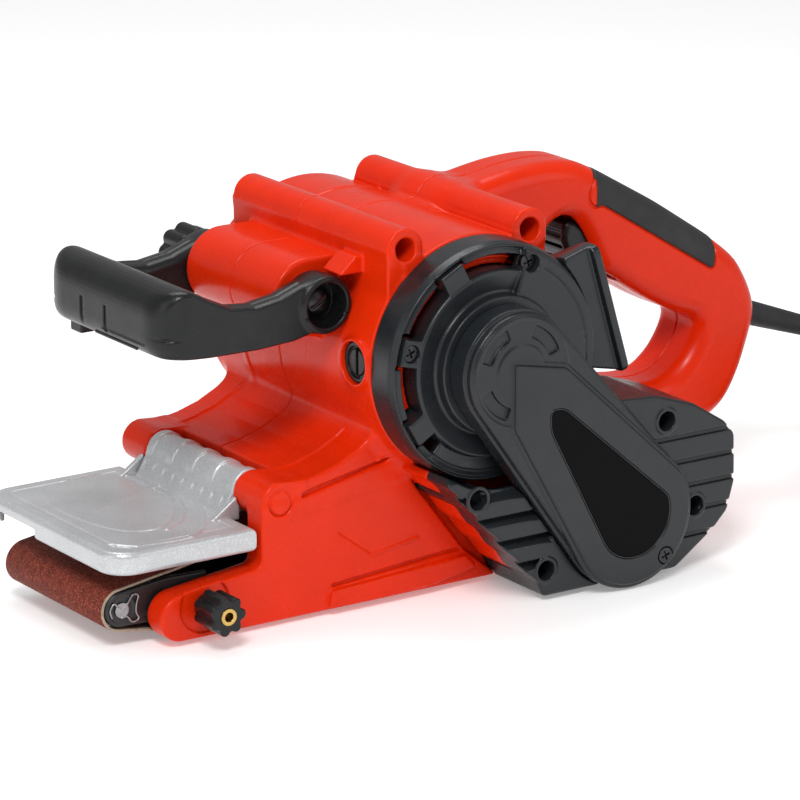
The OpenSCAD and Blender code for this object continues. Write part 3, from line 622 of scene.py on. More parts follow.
def add_finish(
    name, colour, roughness, grains, metallic=0.0, specular=0.5, tone=0.08, tone_scale=60,
    spread=0.06, second=None, second_scale=900, second_share=0.5,
):
    """A procedural finish: colour and gloss that vary, and one or more sizes of raised grain.

    Each grain is (scale per metre, height in metres, stretch). second is a colour of specks.
    """
    mat = bpy.data.materials.new(name)
    mat.use_nodes = True
    nodes, links = mat.node_tree.nodes, mat.node_tree.links
    bsdf = nodes["Principled BSDF"]
    bsdf.inputs["Metallic"].default_value = metallic
    bsdf.inputs["Specular IOR Level"].default_value = specular
    where = nodes.new("ShaderNodeTexCoord").outputs["Object"]

    def node(kind, result, **values):
        """One output of a new node whose inputs are set, or linked where a socket is given."""
        made = nodes.new("ShaderNode" + kind)
        for key, value in values.items():
            socket = made.inputs[key.replace("_", " ")]
            if isinstance(value, bpy.types.NodeSocket):
                links.new(value, socket)
            elif value is not None:
                socket.default_value = value
        return made.outputs[result]

    def noise(scale, detail=3.0, stretch=EVEN):
        place = node("Mapping", "Vector", Vector=where, Scale=stretch)
        return node("TexNoise", "Fac", Vector=place, Scale=scale, Detail=detail)

    def spread_over(value, low, high, start=0.3, end=0.7):
        return node(
            "MapRange", "Result", Value=value, From_Min=start, From_Max=end, To_Min=low, To_Max=high
        )

    def mixed(share, first, other):
        mix = nodes.new("ShaderNodeMix")
        mix.data_type = "RGBA"
        links.new(share, mix.inputs["Factor"])
        for socket, value in ((mix.inputs["A"], first), (mix.inputs["B"], other)):
            if isinstance(value, bpy.types.NodeSocket):
                links.new(value, socket)
            else:
                socket.default_value = (*value, 1)
        return mix.outputs["Result"]

    dull = tuple(c * (1 - tone) for c in colour)
    bright = tuple(min(c * (1 + tone), 1) for c in colour)
    paint = mixed(spread_over(noise(tone_scale), 0, 1), dull, bright)
    if second:
        specks = spread_over(noise(second_scale, 2), 0, 1, second_share, second_share + 0.08)
        paint = mixed(specks, paint, second)
    links.new(paint, bsdf.inputs["Base Color"])
    gloss = spread_over(noise(tone_scale * 2.3, 4), roughness - spread, roughness + spread)
    links.new(gloss, bsdf.inputs["Roughness"])
    normal = None
    for scale, height, stretch in grains:
        raised = noise(scale, 2, stretch)
        normal = node("Bump", "Normal", Strength=1.0, Distance=height, Height=raised, Normal=normal)
    links.new(normal, bsdf.inputs["Normal"])
    FINISHES[name] = mat


add_finish(
    "red_plastic", (0.71, 0.0235, 0.0012), 0.27, (PEEL,), specular=0.2, tone=0.05, spread=0.04,
)
add_finish(
    "dark_plastic", (0.0125, 0.0148, 0.0172), 0.3, (FINE,), specular=0.4, tone=0.12, spread=0.06,
)
add_finish(
    "black_plastic", (0.0075, 0.008, 0.0088), 0.3, (FINE, (300, 0.00003, EVEN)), specular=0.32,
    tone=0.15, spread=0.06,
)
add_finish(
    "black_gloss", (0.003, 0.003, 0.0032), 0.35, ((200, 0.00001, EVEN),), specular=0.05,
    spread=0.04,
)
add_finish(
    "cast_silver", (0.52, 0.535, 0.55), 0.36, ((1500, 0.00005, EVEN), (180, 0.00008, EVEN)),
    metallic=0.45, tone=0.07, spread=0.06, second=(0.74, 0.75, 0.76), second_scale=2600,
    second_share=0.56,
)
add_finish(
    "steel", (0.33, 0.335, 0.345), 0.32, (BRUSHED,), metallic=1.0, tone=0.12, tone_scale=220,
    spread=0.1,
)
add_finish(
    "black_metal", (0.016, 0.016, 0.017), 0.45, ((1200, 0.00008, EVEN),), tone=0.2, spread=0.1,
)
add_finish(
    "dark_screw", (0.05, 0.05, 0.053), 0.34, (BRUSHED,), metallic=0.9, tone=0.2, tone_scale=300,
    spread=0.1,
)
add_finish("alloy", (0.62, 0.63, 0.64), 0.3, (BRUSHED,), metallic=1.0, tone=0.08, spread=0.08)
add_finish(
    "abrasive", (0.15, 0.022, 0.011), 0.75, ((1300, 0.0004, EVEN), (3200, 0.00012, EVEN)),
    specular=0.25, tone=0.35, tone_scale=420, spread=0.15, second=(0.38, 0.1, 0.06),
    second_scale=1700, second_share=0.57,
)
add_finish(
    "brass", (0.62, 0.42, 0.13), 0.28, (BRUSHED,), metallic=1.0, tone=0.12, tone_scale=300,
    spread=0.08,
)
add_finish("rubber", (0.014, 0.0145, 0.016), 0.6, ((1900, 0.00012, EVEN),), tone=0.2, spread=0.08)
add_finish(
    "winding", (0.3, 0.1, 0.035), 0.35, ((1400, 0.0002, (0.1, 1, 1)),), metallic=0.6, tone=0.2,
    spread=0.1,
)
add_finish("carbon", (0.03, 0.03, 0.03), 0.6, ((1500, 0.0001, EVEN),), tone=0.2, spread=0.1)
add_finish(
    "belt_cloth", (0.34, 0.27, 0.2), 0.85, ((2400, 0.0002, (1, 0.3, 1)),), tone=0.2,
    tone_scale=500, spread=0.1,
)
add_finish(
    "cord_skin", (0.011, 0.011, 0.012), 0.42, ((800, 0.00004, EVEN),), tone=0.15, spread=0.07,
)


def dress(obj, body, slot_name, *nodes):
    """Puts a piece on its body, in place of those CAD nodes."""
    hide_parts(*nodes)
    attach(obj, body)
    return obj


def mould(name, low, high, step, build, body, slot_name, node, finish=None):
    """A moulded piece: its field is built, turned into a mesh and put on its body."""
    field = Field(low, high, step * (1))
    build(field)
    obj = from_field(name, field, FINISHES[finish or slot_name])
    return dress(obj, body, slot_name, node)


# ------------------------------------------------------------------- housing


def handle_solid(grow=0.0, round_by=8.0):
    loop, arch = polygon(rounded(LOOP_OUTLINE, 9, 5)), polygon(rounded(ARCH_OUTLINE, 5, 4))
    side = polygon(rounded(HANDLE_OUTLINE, 7)).without(loop, 3).without(arch, 2).grow(grow)
    return prism(side, HANDLE_NEAR - grow, HANDLE_FAR + grow, round_by)


def near_skin(solid, cutter, depth):
    """The part of a cutter that lies within a depth of a solid's surface."""

    def distance(*p):
        return np.maximum(cutter.distance(*p), -(solid.distance(*p) + FLOAT(depth)))

    return Solid(distance, cutter.low, cutter.high)


def build_housing(field):
    barrel = circle(MOTOR, BARREL_R)
    field.add(prism(barrel, BARREL_NEAR, 60, 0.8))
    field.add(prism(barrel, 40, BARREL_FAR, 3.5))
    field.add(disc(MOTOR, BARREL_R + 0.5, 35, 38, 0.5), 0.5)
    field.add(slab(APRON_OUTLINE, PLATE_NEAR, 57, 1.5), 7)
    for x in CLAMP_X:
        field.add(disc((x, CLAMP_Z), 8.4, -57, 55.7, 0.9), 0)
        field.add(prism(box(x - 8.4, 122, x, CLAMP_Z), -57, 55.7, 0.6), 1.5)
        web = [(x, 127), (x + 8, 135.5), (x + 7.4, 141.5), (x, CLAMP_Z)]
        field.add(slab(web, -57, 55.7, 0.6), 3)
    boss = circle(BOSS, 16) | polygon([(-10, 106.5), (8, 104), (8, 138.5), (-10, 138.5)])
    field.add(prism(boss, -24, 41.6, 1.6), 1.8)
    field.add(slab([(-6, 134), (8, 134), (8, 141), (2, 141)], -40, -27, 0.8), 1)
    field.add(disc(BOSS, 11.2, -24.2, 41.8, 0.8), 0.6)
    for low, high in ((PLATE_NEAR, -28), (38, 57)):
        ear = circle(HINGE, 8.3) | polygon([(-36, 46), (-28, 46), (-28, 57.7), (-39.9, 58.6)])
        field.add(prism(ear, low, high, 1.2), 2)
    field.add(slab(rounded(PLATE_OUTLINE, 3), PLATE_NEAR, PLATE_INNER, 1.2), 2.5)
    field.add(slab(rounded(STRIP_OUTLINE, 1), PLATE_NEAR - 2, PLATE_NEAR + 2, 0.5), 0.3)
    rear = [(20, 2), (128, 2), (148, 16), (155, 36), (150, 60), (120, 74), (60, 80)]
    field.add(slab(rear + [(16, 66), (16, 40)], PLATE_REAR, PLATE_INNER, 0.6), 2)
    handle = handle_solid()
    field.add(handle, 8)
    guard = arc(DRIVE, 31.5, -32, 92, 24) + arc(DRIVE, 28.5, 92, -32, 24)
    field.add(slab(guard, PLATE_INNER, 40, 0.6), 1)
    for low, high in ((-4.2, 6), (86, 96.2)):
        field.add(rod((low, BRUSH_Y, BRUSH_Z), (high, BRUSH_Y, BRUSH_Z), 9.8, 0.8), 3)
    field.add(pipe(DRIVE, 17, 13, -62, PLATE_REAR, 0.5), 1)
    field.add(prism(rim_step(), RIM_STEP, PLATE_NEAR + 1, 0.4), 0.5)
    # raised panel lines on the sloping front and beside the barrel
    for y in (-32.0, 44.0):
        ridge = stroke([(-29, 57.6), (-22, 59.1), (-12, 62.1), (-3, 66.5), (4.8, 72)], 1.4)
        field.add(prism(ridge, y - 0.9, y + 0.9, 0.5), 0.6)
    field.add(prism(stroke([(6, 60), (13, 66), (18, 67), (40, 58)], 1.6), -50.7, -48, 0.5), 0.5)
    field.add(prism(stroke([(-14, 33), (2, 21), (24, 24.5)], 1.3), -50.6, -48, 0.4), 0.5)
    # hollows
    field.cut(disc(MOTOR, 45, -60, 63))
    field.add(pipe(MOTOR, 45.6, 36, BARREL_NEAR, -54.5, 0.4), 0.4)
    lip = ring(MOTOR, 43.4, 38.4).within(sector_flat(75, 225))
    for turn, _ in SPOKES:
        lip = lip - sector_flat(turn - 9, turn + 9)
    field.add(prism(lip, BARREL_NEAR - 8, BARREL_NEAR + 1, 0.4), 0.3)
    field.add(prism(lip.within(ring(MOTOR, 42.2, 41.0)), BARREL_NEAR - 9.4, BARREL_NEAR, 0.4), 0.3)
    field.add(pipe(MOTOR, 43.7, 38.3, BARREL_NEAR - 3.6, BARREL_NEAR + 1, 0.6), 0.4)
    hollow = polygon(HANDLE_OUTLINE).grow(-6.5) - polygon(LOOP_OUTLINE).grow(5)
    hollow = (hollow - polygon(ARCH_OUTLINE).grow(4)) - circle(MOTOR, BARREL_R)
    field.cut(prism(hollow, HANDLE_NEAR + 5, HANDLE_FAR - 5))
    for x in CLAMP_X:
        field.cut(disc((x, CLAMP_Z), 4.6, -60, 60), 0.5)
    field.cut(disc(BOSS, 4.05, -30, 50))
    field.cut(disc(HINGE, 3, -46, 54))
    for low, high in ((-8, 12), (82, 100)):
        field.cut(rod((low, BRUSH_Y, BRUSH_Z), (high, BRUSH_Y, BRUSH_Z), 8.5))
    field.cut(disc(TRACKING, 11, -60, PLATE_NEAR + 1.5), 0.6)
    field.cut(disc(TRACKING, 2.6, -60, -30))
    field.cut(disc(DRIVE, 13, -70, -30))
    recess = [(128, 96), (150, 94), (160, 104), (161, 122), (146, 136), (126, 136), (124, 128)]
    field.cut(slab(recess, SEAM - 11.5, SEAM + 11.5), 0.8)
    field.cut(disc(LOCK_AT, 4.7, SEAM, 40), 0.8)
    field.cut(rod(EXIT - 14 * AHEAD, EXIT + 16 * AHEAD, 5.9), 0.6)
    # marks
    field.cut(pipe(HINGE, 5.5, 4.7, -60, PLATE_NEAR + 0.6), 0.3)
    grooves = polygon([(-30, 50.5), (9, 58.6), (12, 60.6), (-30, 52.6)])
    grooves = grooves | polygon([(-16, 11.2), (46, 15.4), (45, 17), (-16, 12.4)])
    field.cut(prism(grooves, -60, PLATE_NEAR + 1.6), 0.5)
    for at in HANDLE_SCREWS:
        field.cut(disc(at, 3.5, HANDLE_FAR - 3, HANDLE_FAR + 3), 0.5)
    for turn in range(0, 360, 30):
        a, n = unit(turn), unit(turn + 90)
        slot = [MOTOR + 19 * a - 2 * n, MOTOR + 37 * a - 2 * n, MOTOR + 37 * a + 2 * n]
        field.cut(slab(slot + [MOTOR + 19 * a + 2 * n], 60, 70), 0.6)
    field.cut(pipe(MOTOR, 41.3, 40.3, BARREL_FAR - 0.8, 70), 0.4)
    rim = prism(pad_flat().grow(0.6) - pad_flat().grow(-0.5), -12, 28)
    field.cut(near_skin(handle, rim, 1.0), 0.3)


def make_housing():
    for name, node, low, high, side in (
        ("near_shell", "near_housing", (-95, -69, 1), (230, SEAM, 157), 1),
        ("far_shell", "far_housing", (-49, SEAM, 1), (230, 67, 157), -1),
    ):

        def build(field):
            build_housing(field)
            field.beyond(1, SEAM, side, 0.7)

        mould(name, low, high, 0.7, build, "housing", "red_plastic", node)


# ----------------------------------------------------------- drive-side covers


def build_end_cover(field):
    centre = (MOTOR[0], BARREL_NEAR, MOTOR[1])
    rim = [(44, 0), (48.5, 0), (48.5, -11.8), (47.3, -15), (46.5, -15), (46.1, -13.2)]
    dish = [(11, 0), (14.5, 0), (14.5, -9), (35.5, -9), (35.5, -4), (38, -4), (38, -16.2)]
    dish += [(37.2, -17.2), (29, -15.2), (28, -16.2), (28, -20.4), (22, -20.4), (22, -12)]
    dish += [(6, -12), (6, -7.3), (11, -7.3)]
    field.add(lathe(rounded(rim + [(43.6, -14.6), (43.6, -2)], 0.35), centre))
    field.add(lathe(rounded(dish, 0.6), centre))
    for turn, width in SPOKES:
        a, n = unit(turn), unit(turn + 90)
        for side in (-1, 1):
            near = MOTOR + n * side * (width / 2 + 0.2)
            far = near + n * side * 1.5
            notch = [near + 42 * a, near + 46.4 * a, far + 46.4 * a, far + 42 * a]
            field.cut(slab(notch, BARREL_NEAR - 20, BARREL_NEAR - 10.5), 0.2)
    for turn, width in SPOKES:
        a, n = unit(turn), unit(turn + 90)
        foot, tip, half = MOTOR + 36.5 * a, MOTOR + 45.5 * a, n * width / 2
        block = [foot - half, tip - half, tip + half, foot + half]
        field.add(slab(block, BARREL_NEAR - 16.8, BARREL_NEAR - 4, 0.7), 0.2)
    for start, end, shallow, deep in ((-62, 73, 10, 18.5), (229, 300, 4, 14)):
        wedge = sector(start, end, 27.5, 46.2)
        field.add(slab(wedge, BARREL_NEAR - deep, BARREL_NEAR - shallow, 0.9), 0.8)
    field.cut(prism(ring(MOTOR, 42.4, 41.7).within(sector_flat(-58, 60)), -80, -75), 0.3)
    field.cut(disc(MOTOR, 21.9, -90, -69.1), 0.5)
    for at in END_SCREWS:
        field.cut(disc(at, 3.5, -80, -70), 0.5)
        field.cut(disc(at, 1.9, -80, -50))


def sector_flat(start, end):
    return polygon(sector(start, end, 1, 60))


def rim_step():
    """The left wall of the lower cover's outline, where the shell's raised rim meets it."""
    wall = polygon(BASE_OUTLINE).grow(-0.2) - polygon(BASE_OUTLINE).grow(-2.6)
    return (wall.within(box(0, 0, 58, 70)) - circle(MOTOR, 49.4)) - circle(SCREW_HOLES[0], 6.2)


def build_base_cover(field):
    field.add(slab(rounded(BASE_OUTLINE, 1.6), BASE_FACE, PLATE_REAR, 1.2))
    hollow = polygon(BASE_OUTLINE).grow(-2.6)
    for at in SCREW_HOLES:
        hollow = hollow - circle(at, 6)
    field.cut(prism(hollow, BASE_FACE + 6, -40))
    field.cut(disc(MOTOR, BARREL_R + 0.3, -95, -40), 0.6)
    solid = polygon(PLATE_OUTLINE) | polygon(APRON_OUTLINE)
    field.cut(prism(solid.grow(0.3), PLATE_NEAR - 0.3, -40))
    field.cut(prism(polygon(STRIP_OUTLINE).grow(0.3), PLATE_NEAR - 2.3, -40))
    arm = polygon(two_wheels(MOTOR, 25.3, ARM_END, 29.8))
    field.cut(prism(arm, -95, ARM_BACK), 0.8)
    for i in range(5):
        level = 14 + 10.5 * i
        field.cut(prism(box(90, level, 170, level + 1.8), BASE_FACE - 5, BASE_FACE + 1.6), 0.7)
        foot, face = 56.5 - 10.5 * i, BASE_FACE
        groove = [(face - 1, foot + 3.8), (face + 3.8, foot + 3.8), (face + 3.8, foot + 2.4)]
        field.cut(slab(groove + [(face - 1, foot - 1.4)], 5, 66, 0.3, axis=0), 0.4)
    field.cut(prism(arm, -95, ARM_BACK))
    field.cut(disc(MOTOR, BARREL_R + 0.3, -95, -40))
    field.cut(prism(rim_step().grow(0.5), RIM_STEP - 0.3, -40))
    for at in SCREW_HOLES:
        field.add(pipe(at, 5.6, 3.9, BASE_FACE - 0.6, BASE_FACE + 1, 0.5), 0.6)
        field.cut(disc(at, 3.9, -95, -64), 0.5)
        field.cut(disc(at, 1.9, -70, -40))


PANEL_OUTLINE = [(42, 103), (42, 76)] + arc(ARM_END, 28.3, 213, 392, 32) + [(67, 98)]
INLAY_OUTLINE = [(59, 82), (59, 73)] + arc(ARM_END + (0.5, 0.7), 17.8, 213, 380, 24) + [(66, 81.7)]


def build_arm(field):
    outer = two_wheels(MOTOR, 25, ARM_END, 29.5)
    field.add(slab(outer, -86.5, ARM_BACK, 0.5))
    field.add(prism(polygon(outer).grow(-1.3), ARM_FACE + 2, ARM_BACK - 1, 1.3), 0.4)
    panel = polygon(rounded(PANEL_OUTLINE, 1.5))
    field.add(prism(panel.grow(-0.3), ARM_FACE, ARM_FACE + 3, 0.9), 0.6)
    field.add(prism(panel.grow(1.3), ARM_FACE + 1.4, ARM_FACE + 4, 0.5), 0.2)
    keep_clear = polygon([(43, 102.5), (43, 60), (90, 60), (66, 98)])
    for turn in (20, 110, 200, 290):
        slot = arc(MOTOR, 19.5, turn, turn + 50, 12) + arc(MOTOR, 14.5, turn + 50, turn, 12)
        slot = polygon(rounded(slot, 0.8)) - keep_clear.grow(1)
        field.cut(prism(slot, ARM_FACE, ARM_FACE + 3.4), 0.4)
    field.add(prism(ring(MOTOR, 22.4, 21.4) - panel, ARM_FACE + 1.5, ARM_FACE + 4, 0.4), 0.5)
    field.add(prism(circle(MOTOR, 11.5) - panel.grow(1), ARM_FACE + 1.5, ARM_FACE + 4, 0.6), 0.6)
    field.cut(slab(rounded(INLAY_OUTLINE, 3), ARM_FACE - 3, ARM_FACE + 0.9), 0.3)
    field.cut(prism(polygon(outer).grow(-2.5), ARM_FACE + 4, -70))
    field.add(pipe(ARM_SCREW, 3.6, 1.8, ARM_FACE + 4, ARM_BACK))
    field.cut(disc(ARM_SCREW, 3.7, ARM_FACE - 3, ARM_FACE + 2.4), 0.4)
    field.cut(disc(ARM_SCREW, 1.9, ARM_FACE - 3, ARM_BACK + 1))


def build_inlay(field):
    field.add(prism(polygon(rounded(INLAY_OUTLINE, 3)).grow(-0.75), ARM_FACE + 0.15, -91.1, 0.25))


def build_inlay_rim(field):
    shape = polygon(rounded(INLAY_OUTLINE, 3))
    field.add(prism(shape.grow(-0.1) - shape.grow(-0.7), ARM_FACE + 0.1, -91.1, 0.15))


PORT_TOP, PORT_FOOT = np.array([96.7, 138.8]), np.array([112.9, 84.9])
PORT_UP = (PORT_TOP - PORT_FOOT) / np.hypot(*(PORT_TOP - PORT_FOOT))
PORT_IN = np.array([-PORT_UP[1], PORT_UP[0]])
PORT_MIDDLE = (PORT_TOP + PORT_FOOT) / 2


def through_port(points, reach=0.0):
    """A shape of [height, y] points, drawn out along the port's direction."""
    section = polygon(rounded(points, reach) if reach else points)

    def distance(x, y, z):
        up = (x - FLOAT(PORT_MIDDLE[0])) * FLOAT(PORT_UP[0])
        return section.distance(up + (z - FLOAT(PORT_MIDDLE[1])) * FLOAT(PORT_UP[1]), y)

    return Solid(distance, (60, section.low[1], 70), (130, section.high[1], 150))


def build_dust_outlet(field):
    flange = [PORT_TOP, PORT_TOP + PORT_IN * 3.6, PORT_FOOT + PORT_IN * 3.6, PORT_FOOT]
    field.add(slab(rounded(flange, 0.8), -72, -30, 1.0))
    duct = [PORT_TOP + PORT_IN * 2, (82, 136.5), (82, 128), (84, 88), (95, 87.7)]
    field.add(slab(duct + [PORT_FOOT + PORT_IN * 2], -69, -33, 1.0), 0.8)
    edge = [(-28.2, -72), (-28.2, -63), (-14.5, -32.5), (14.5, -32.5), (28.2, -63), (28.2, -72)]
    field.keep(through_port(edge, 4.5), 0.8)
    field.cut(disc(MOTOR, BARREL_R + 0.2, -80, -20), 0.4)
    inside = [PORT_TOP + PORT_IN * 7, (88, 131), (80, 124), (80, 92)]
    inside = slab(inside + [PORT_FOOT + PORT_IN * 7 + (0, 4)], -66, -36)
    edge = [(-27, -67), (-27, -63), (-12.5, -35.5), (12.5, -35.5), (27, -63), (27, -67)]
    edge = through_port(edge)
    hollow = Solid(
        lambda *p: np.maximum(inside.distance(*p), edge.distance(*p)), inside.low, inside.high
    )
    field.cut(hollow, 0.4)
    a = np.array([PORT_MIDDLE[0], -51, PORT_MIDDLE[1]])
    into = np.array([PORT_IN[0], 0, PORT_IN[1]])
    field.cut(rod(a - 5 * into, a + 10 * into, 15), 0.5)


# --------------------------------------------------------------- front cover

COVER_NEAR, COVER_FAR, COVER_FRONT, COVER_REAR = -49.0, 54.0, -115.0, -50.2
COVER_PLAN = (
    [(COVER_REAR, COVER_NEAR), (COVER_REAR, COVER_FAR)]
    + arc((COVER_FRONT + 12, COVER_FAR - 12), 12, 90, 180, 10)
    + arc((COVER_FRONT + 12, COVER_NEAR + 12), 12, 180, 270, 10)
)


def build_front_cover(field):
    plan = polygon(COVER_PLAN)
    field.add(prism(plan, COVER_BOTTOM, COVER_TOP - 0.5, 2.4, axis=2))
    field.cut(prism(plan.grow(-3), COVER_BOTTOM - 5, COVER_TOP - 3.2, axis=2), 0.8)
    island = [(-101, 28), (-93, 44), (-76, 49), (-56, 47), (-53, 22), (-58, 0), (-68, -18)]
    island = softened(island + [(-82, -30), (-97, -24), (-103, 4)], 2)
    field.add(slab(island, COVER_TOP - 2, COVER_TOP - 0.1, 0.5, axis=2), 0.5)
    field.cut(prism(plan.grow(-7.0) - plan.grow(-8.2), COVER_TOP - 0.8, 50, axis=2), 0.6)
    lines = (
        [(-91, 4), (-71, 12.4), (-56, 19), (-46, 22)],
        [(-80, -30), (-70, -24), (-63, -15), (-58, -4), (-54, 6), (-47, 14)],
        [(-77, -44), (-68, -37), (-60, -25), (-53, -12), (-47, 2)],
        [(-107, -34), (-100, -42), (-86, -44), (-77, -44)],
    )
    for points in lines:
        field.add(prism(stroke(points, 2.6), COVER_TOP - 2, COVER_TOP, 0.7, axis=2), 0.9)
    field.add(disc(HINGE, 7.4, -27.7, 37.7, 0.6))
    for i in range(5):
        low = -27.7 + i * 15.1
        field.add(disc(HINGE, 8.1, low, low + 5.0, 0.7), 0.3)
    strap = [(-53, 38.8), (-42, 42.4), (-39.9, 48), (-46.4, 53.2), (-53, 42)]
    field.add(slab(strap, -27.7, 37.7, 0.7), 1)
    for i in range(9):
        y = -24 + i * 7.3
        groove = stroke([(-54.0, 43.4), (-50.6, 47.4)], 2.6)
        field.cut(prism(groove, y - 1.3, y + 1.3, 0.3), 0.3)
    for y in (-31.5, 38.5):
        field.add(slab([(-62, 40), (-47, 40), (-47, 50.5)], y, y + 2.5, 0.5), 1)
    field.cut(disc(HINGE, 3.05, -40, 50))
    notch = box(COVER_FRONT - 3, 12, COVER_FRONT + 5, 40)
    field.cut(prism(notch, COVER_BOTTOM - 5, 36.5, axis=2), 0.8)
    field.cut(prism(box(-62, -46, -48, 51), COVER_BOTTOM - 5, 38.8, axis=2), 0.4)
    for low, high in ((-60, -28), (38, 60)):
        field.cut(disc(HINGE, 8.6, low, high), 0.3)


# -------------------------------------------------------------- front handle

CUP_R = 11.5
ARM_NEAR_Y, ARM_FAR_Y = (-38.5, -24.3), (41.9, 56.0)


def build_front_handle(field):
    ridge = [(-20, 131.8), (-30, 128.2), (-42, 126.4), (-52, 127.4)]
    side = (
        arc((-78, 117.5), 8, 180, 270, 8)
        + [(-62, 108.6), (-40, 108.4), (-24, 109.4)]
        + arc(BOSS, CUP_R, 250, 450, 24)
        + ridge
        + [(-62, 132)]
        + arc((-74, 125), 12, 60, 180, 12)
    )
    front, rear, corner, inner = -86.0, -61.0, 17.0, 9.0
    plan = (
        [(10, ARM_NEAR_Y[0]), (10, ARM_FAR_Y[1])]
        + arc((front + corner, ARM_FAR_Y[1] - corner), corner, 90, 180, 12)
        + arc((front + corner, ARM_NEAR_Y[0] + corner), corner, 180, 270, 12)
    )
    hole = (
        [(12, ARM_NEAR_Y[1]), (12, ARM_FAR_Y[0])]
        + arc((rear + inner, ARM_FAR_Y[0] - inner), inner, 90, 180, 8)
        + arc((rear + inner, ARM_NEAR_Y[1] + inner), inner, 180, 270, 8)
    )
    field.add(slab(side, ARM_NEAR_Y[0], ARM_FAR_Y[1], 0.5))
    field.keep(prism(polygon(plan) - polygon(hole), 95, 145, 0.5, axis=2), 5.5)
    # the cups at the ends of the arms, with flat rims
    for low, high in (ARM_NEAR_Y, ARM_FAR_Y):
        field.add(disc(BOSS, CUP_R, low, high, 1.4), 1.5)
    # fine raised ridge where the mould's halves met, along the top of the arms
    for y in (-31.4, 49.0):
        field.add(prism(stroke([(x, z - 0.9) for x, z in ridge], 2.2), y - 0.8, y + 0.8, 0.5), 1.2)
    for y in (6.0, 24.0):
        field.cut(prism(box(-90, 107, -83.6, 124), y - 1.0, y + 1.0), 0.3)
    field.cut(prism(polygon(plan).grow(2) - polygon(plan).grow(-0.7), 117.6, 118.6, axis=2), 0.4)
    field.add(prism(box(front, -20, front + 1.2, 12), 112, 113.4, 0.4, axis=2), 0.8)
    field.add(prism(box(-72, 101.5, -62, 112), 46, 55, 0.8), 1)
    field.cut(disc(BOSS, 9, -45, -28), 0.8)
    field.cut(disc(BOSS, 4, -45, 60))


def build_handle_bolt(field):
    field.add(disc(BOSS, 4, -32, 66, 0.6))
    field.add(disc(BOSS, 6.4, -30.4, -28, 0.5))
    field.add(ball((BOSS[0], -24.5, BOSS[1]), 8.3))
    field.cut(pipe(BOSS, 12, 4, -28, -10))
    field.cut(pipe(BOSS, 12, 6.4, -40, -28))
    slot = stroke([BOSS - 8 * unit(35), BOSS + 8 * unit(35)], 1.6)
    field.cut(prism(slot, -40, -31.6), 0.2)


def lobed(c, core, lobes, at, r, hollow=0.6):
    shape = circle(c, core)
    for i in range(lobes):
        shape = shape.join(circle(np.array(c) + at * unit(360 * i / lobes), r), hollow)
    return shape


def build_clamp_knob(field):
    field.add(prism(lobed(BOSS, 9.6, 8, 7.9, 3.5), ARM_FAR_Y[1] + 0.3, 71, 1.6))
    field.add(disc(BOSS, 8, ARM_FAR_Y[1] + 0.3, ARM_FAR_Y[1] + 2), 0.5)
    field.cut(disc(BOSS, 6.2, 69.6, 80), 0.6)
    field.cut(disc(BOSS, 4.05, 50, 67))


def build_tracking_knob(field):
    field.add(prism(lobed(TRACKING, 6.4, 7, 5.9, 2.2, 0.8), -67, PLATE_NEAR - 3.3, 0.8))
    field.add(disc(TRACKING, 5.4, -56, PLATE_NEAR - 0.3, 0.5), 0.8)
    field.cut(disc(TRACKING, 3.4, -70, -58))
    field.cut(disc(TRACKING, 2.5, -60, -40))


def build_brush_cap(side):
    def bar(start, end, r, edge=0):
        """A round bar about the cap's axis, between two distances from the motor's."""
        start, end = (MOTOR[0] + side * x for x in (start, end))
        return rod((start, BRUSH_Y, BRUSH_Z), (end, BRUSH_Y, BRUSH_Z), r, edge)

    def build(field):
        field.add(bar(40.4, CAP_TOP, 8.3, 0.6))
        field.cut(bar(CAP_TOP - 1, CAP_TOP + 3, 6.4), 0.3)
        field.add(bar(CAP_TOP - 2, CAP_TOP - 0.4, 5.4, 0.4), 0.2)
        slot = box(BRUSH_Y - 0.9, BRUSH_Z - 6, BRUSH_Y + 0.9, BRUSH_Z + 6)
        low, high = sorted(MOTOR[0] + side * (CAP_TOP + x) for x in (-2.2, 2))
        field.cut(prism(slot, low, high, axis=0), 0.2)

    return build


def build_trigger(field):
    shape = [(131, 129), (129.5, 122), (132, 114), (139, 105.5), (147.5, 100.5), (152, 104.5)]
    shape += [(157.5, 106), (157, 116), (146, 121), (137, 128.5)]
    field.add(slab(softened(shape, 1, 0.2), SEAM - 11, SEAM + 11, 3))
    for i in range(4):
        spot = np.array([131.4, 124]) + np.array([2.6, -5.0]) * i
        field.cut(disc(spot - (1.6, 0.9), 1.5, SEAM - 8, SEAM + 8, 0.4), 0.5)
    field.cut(disc(TRIGGER_PIVOT, 1.55, -20, 40))


def build_lock_button(field):
    field.add(disc(LOCK_AT, 4.5, HANDLE_FAR - 6.5, HANDLE_FAR + 3.5, 1.0))
    for r in (1.4, 2.8):
        field.cut(pipe(LOCK_AT, r + 0.3, r - 0.3, HANDLE_FAR + 3.1, 40), 0.2)


def build_handle_pad(field):
    field.add(handle_solid(0.3, 8.3))
    field.keep(prism(pad_flat(), -12, 28), 1.0)
    field.cut(handle_solid(-2.6, 5.4), 0.5)


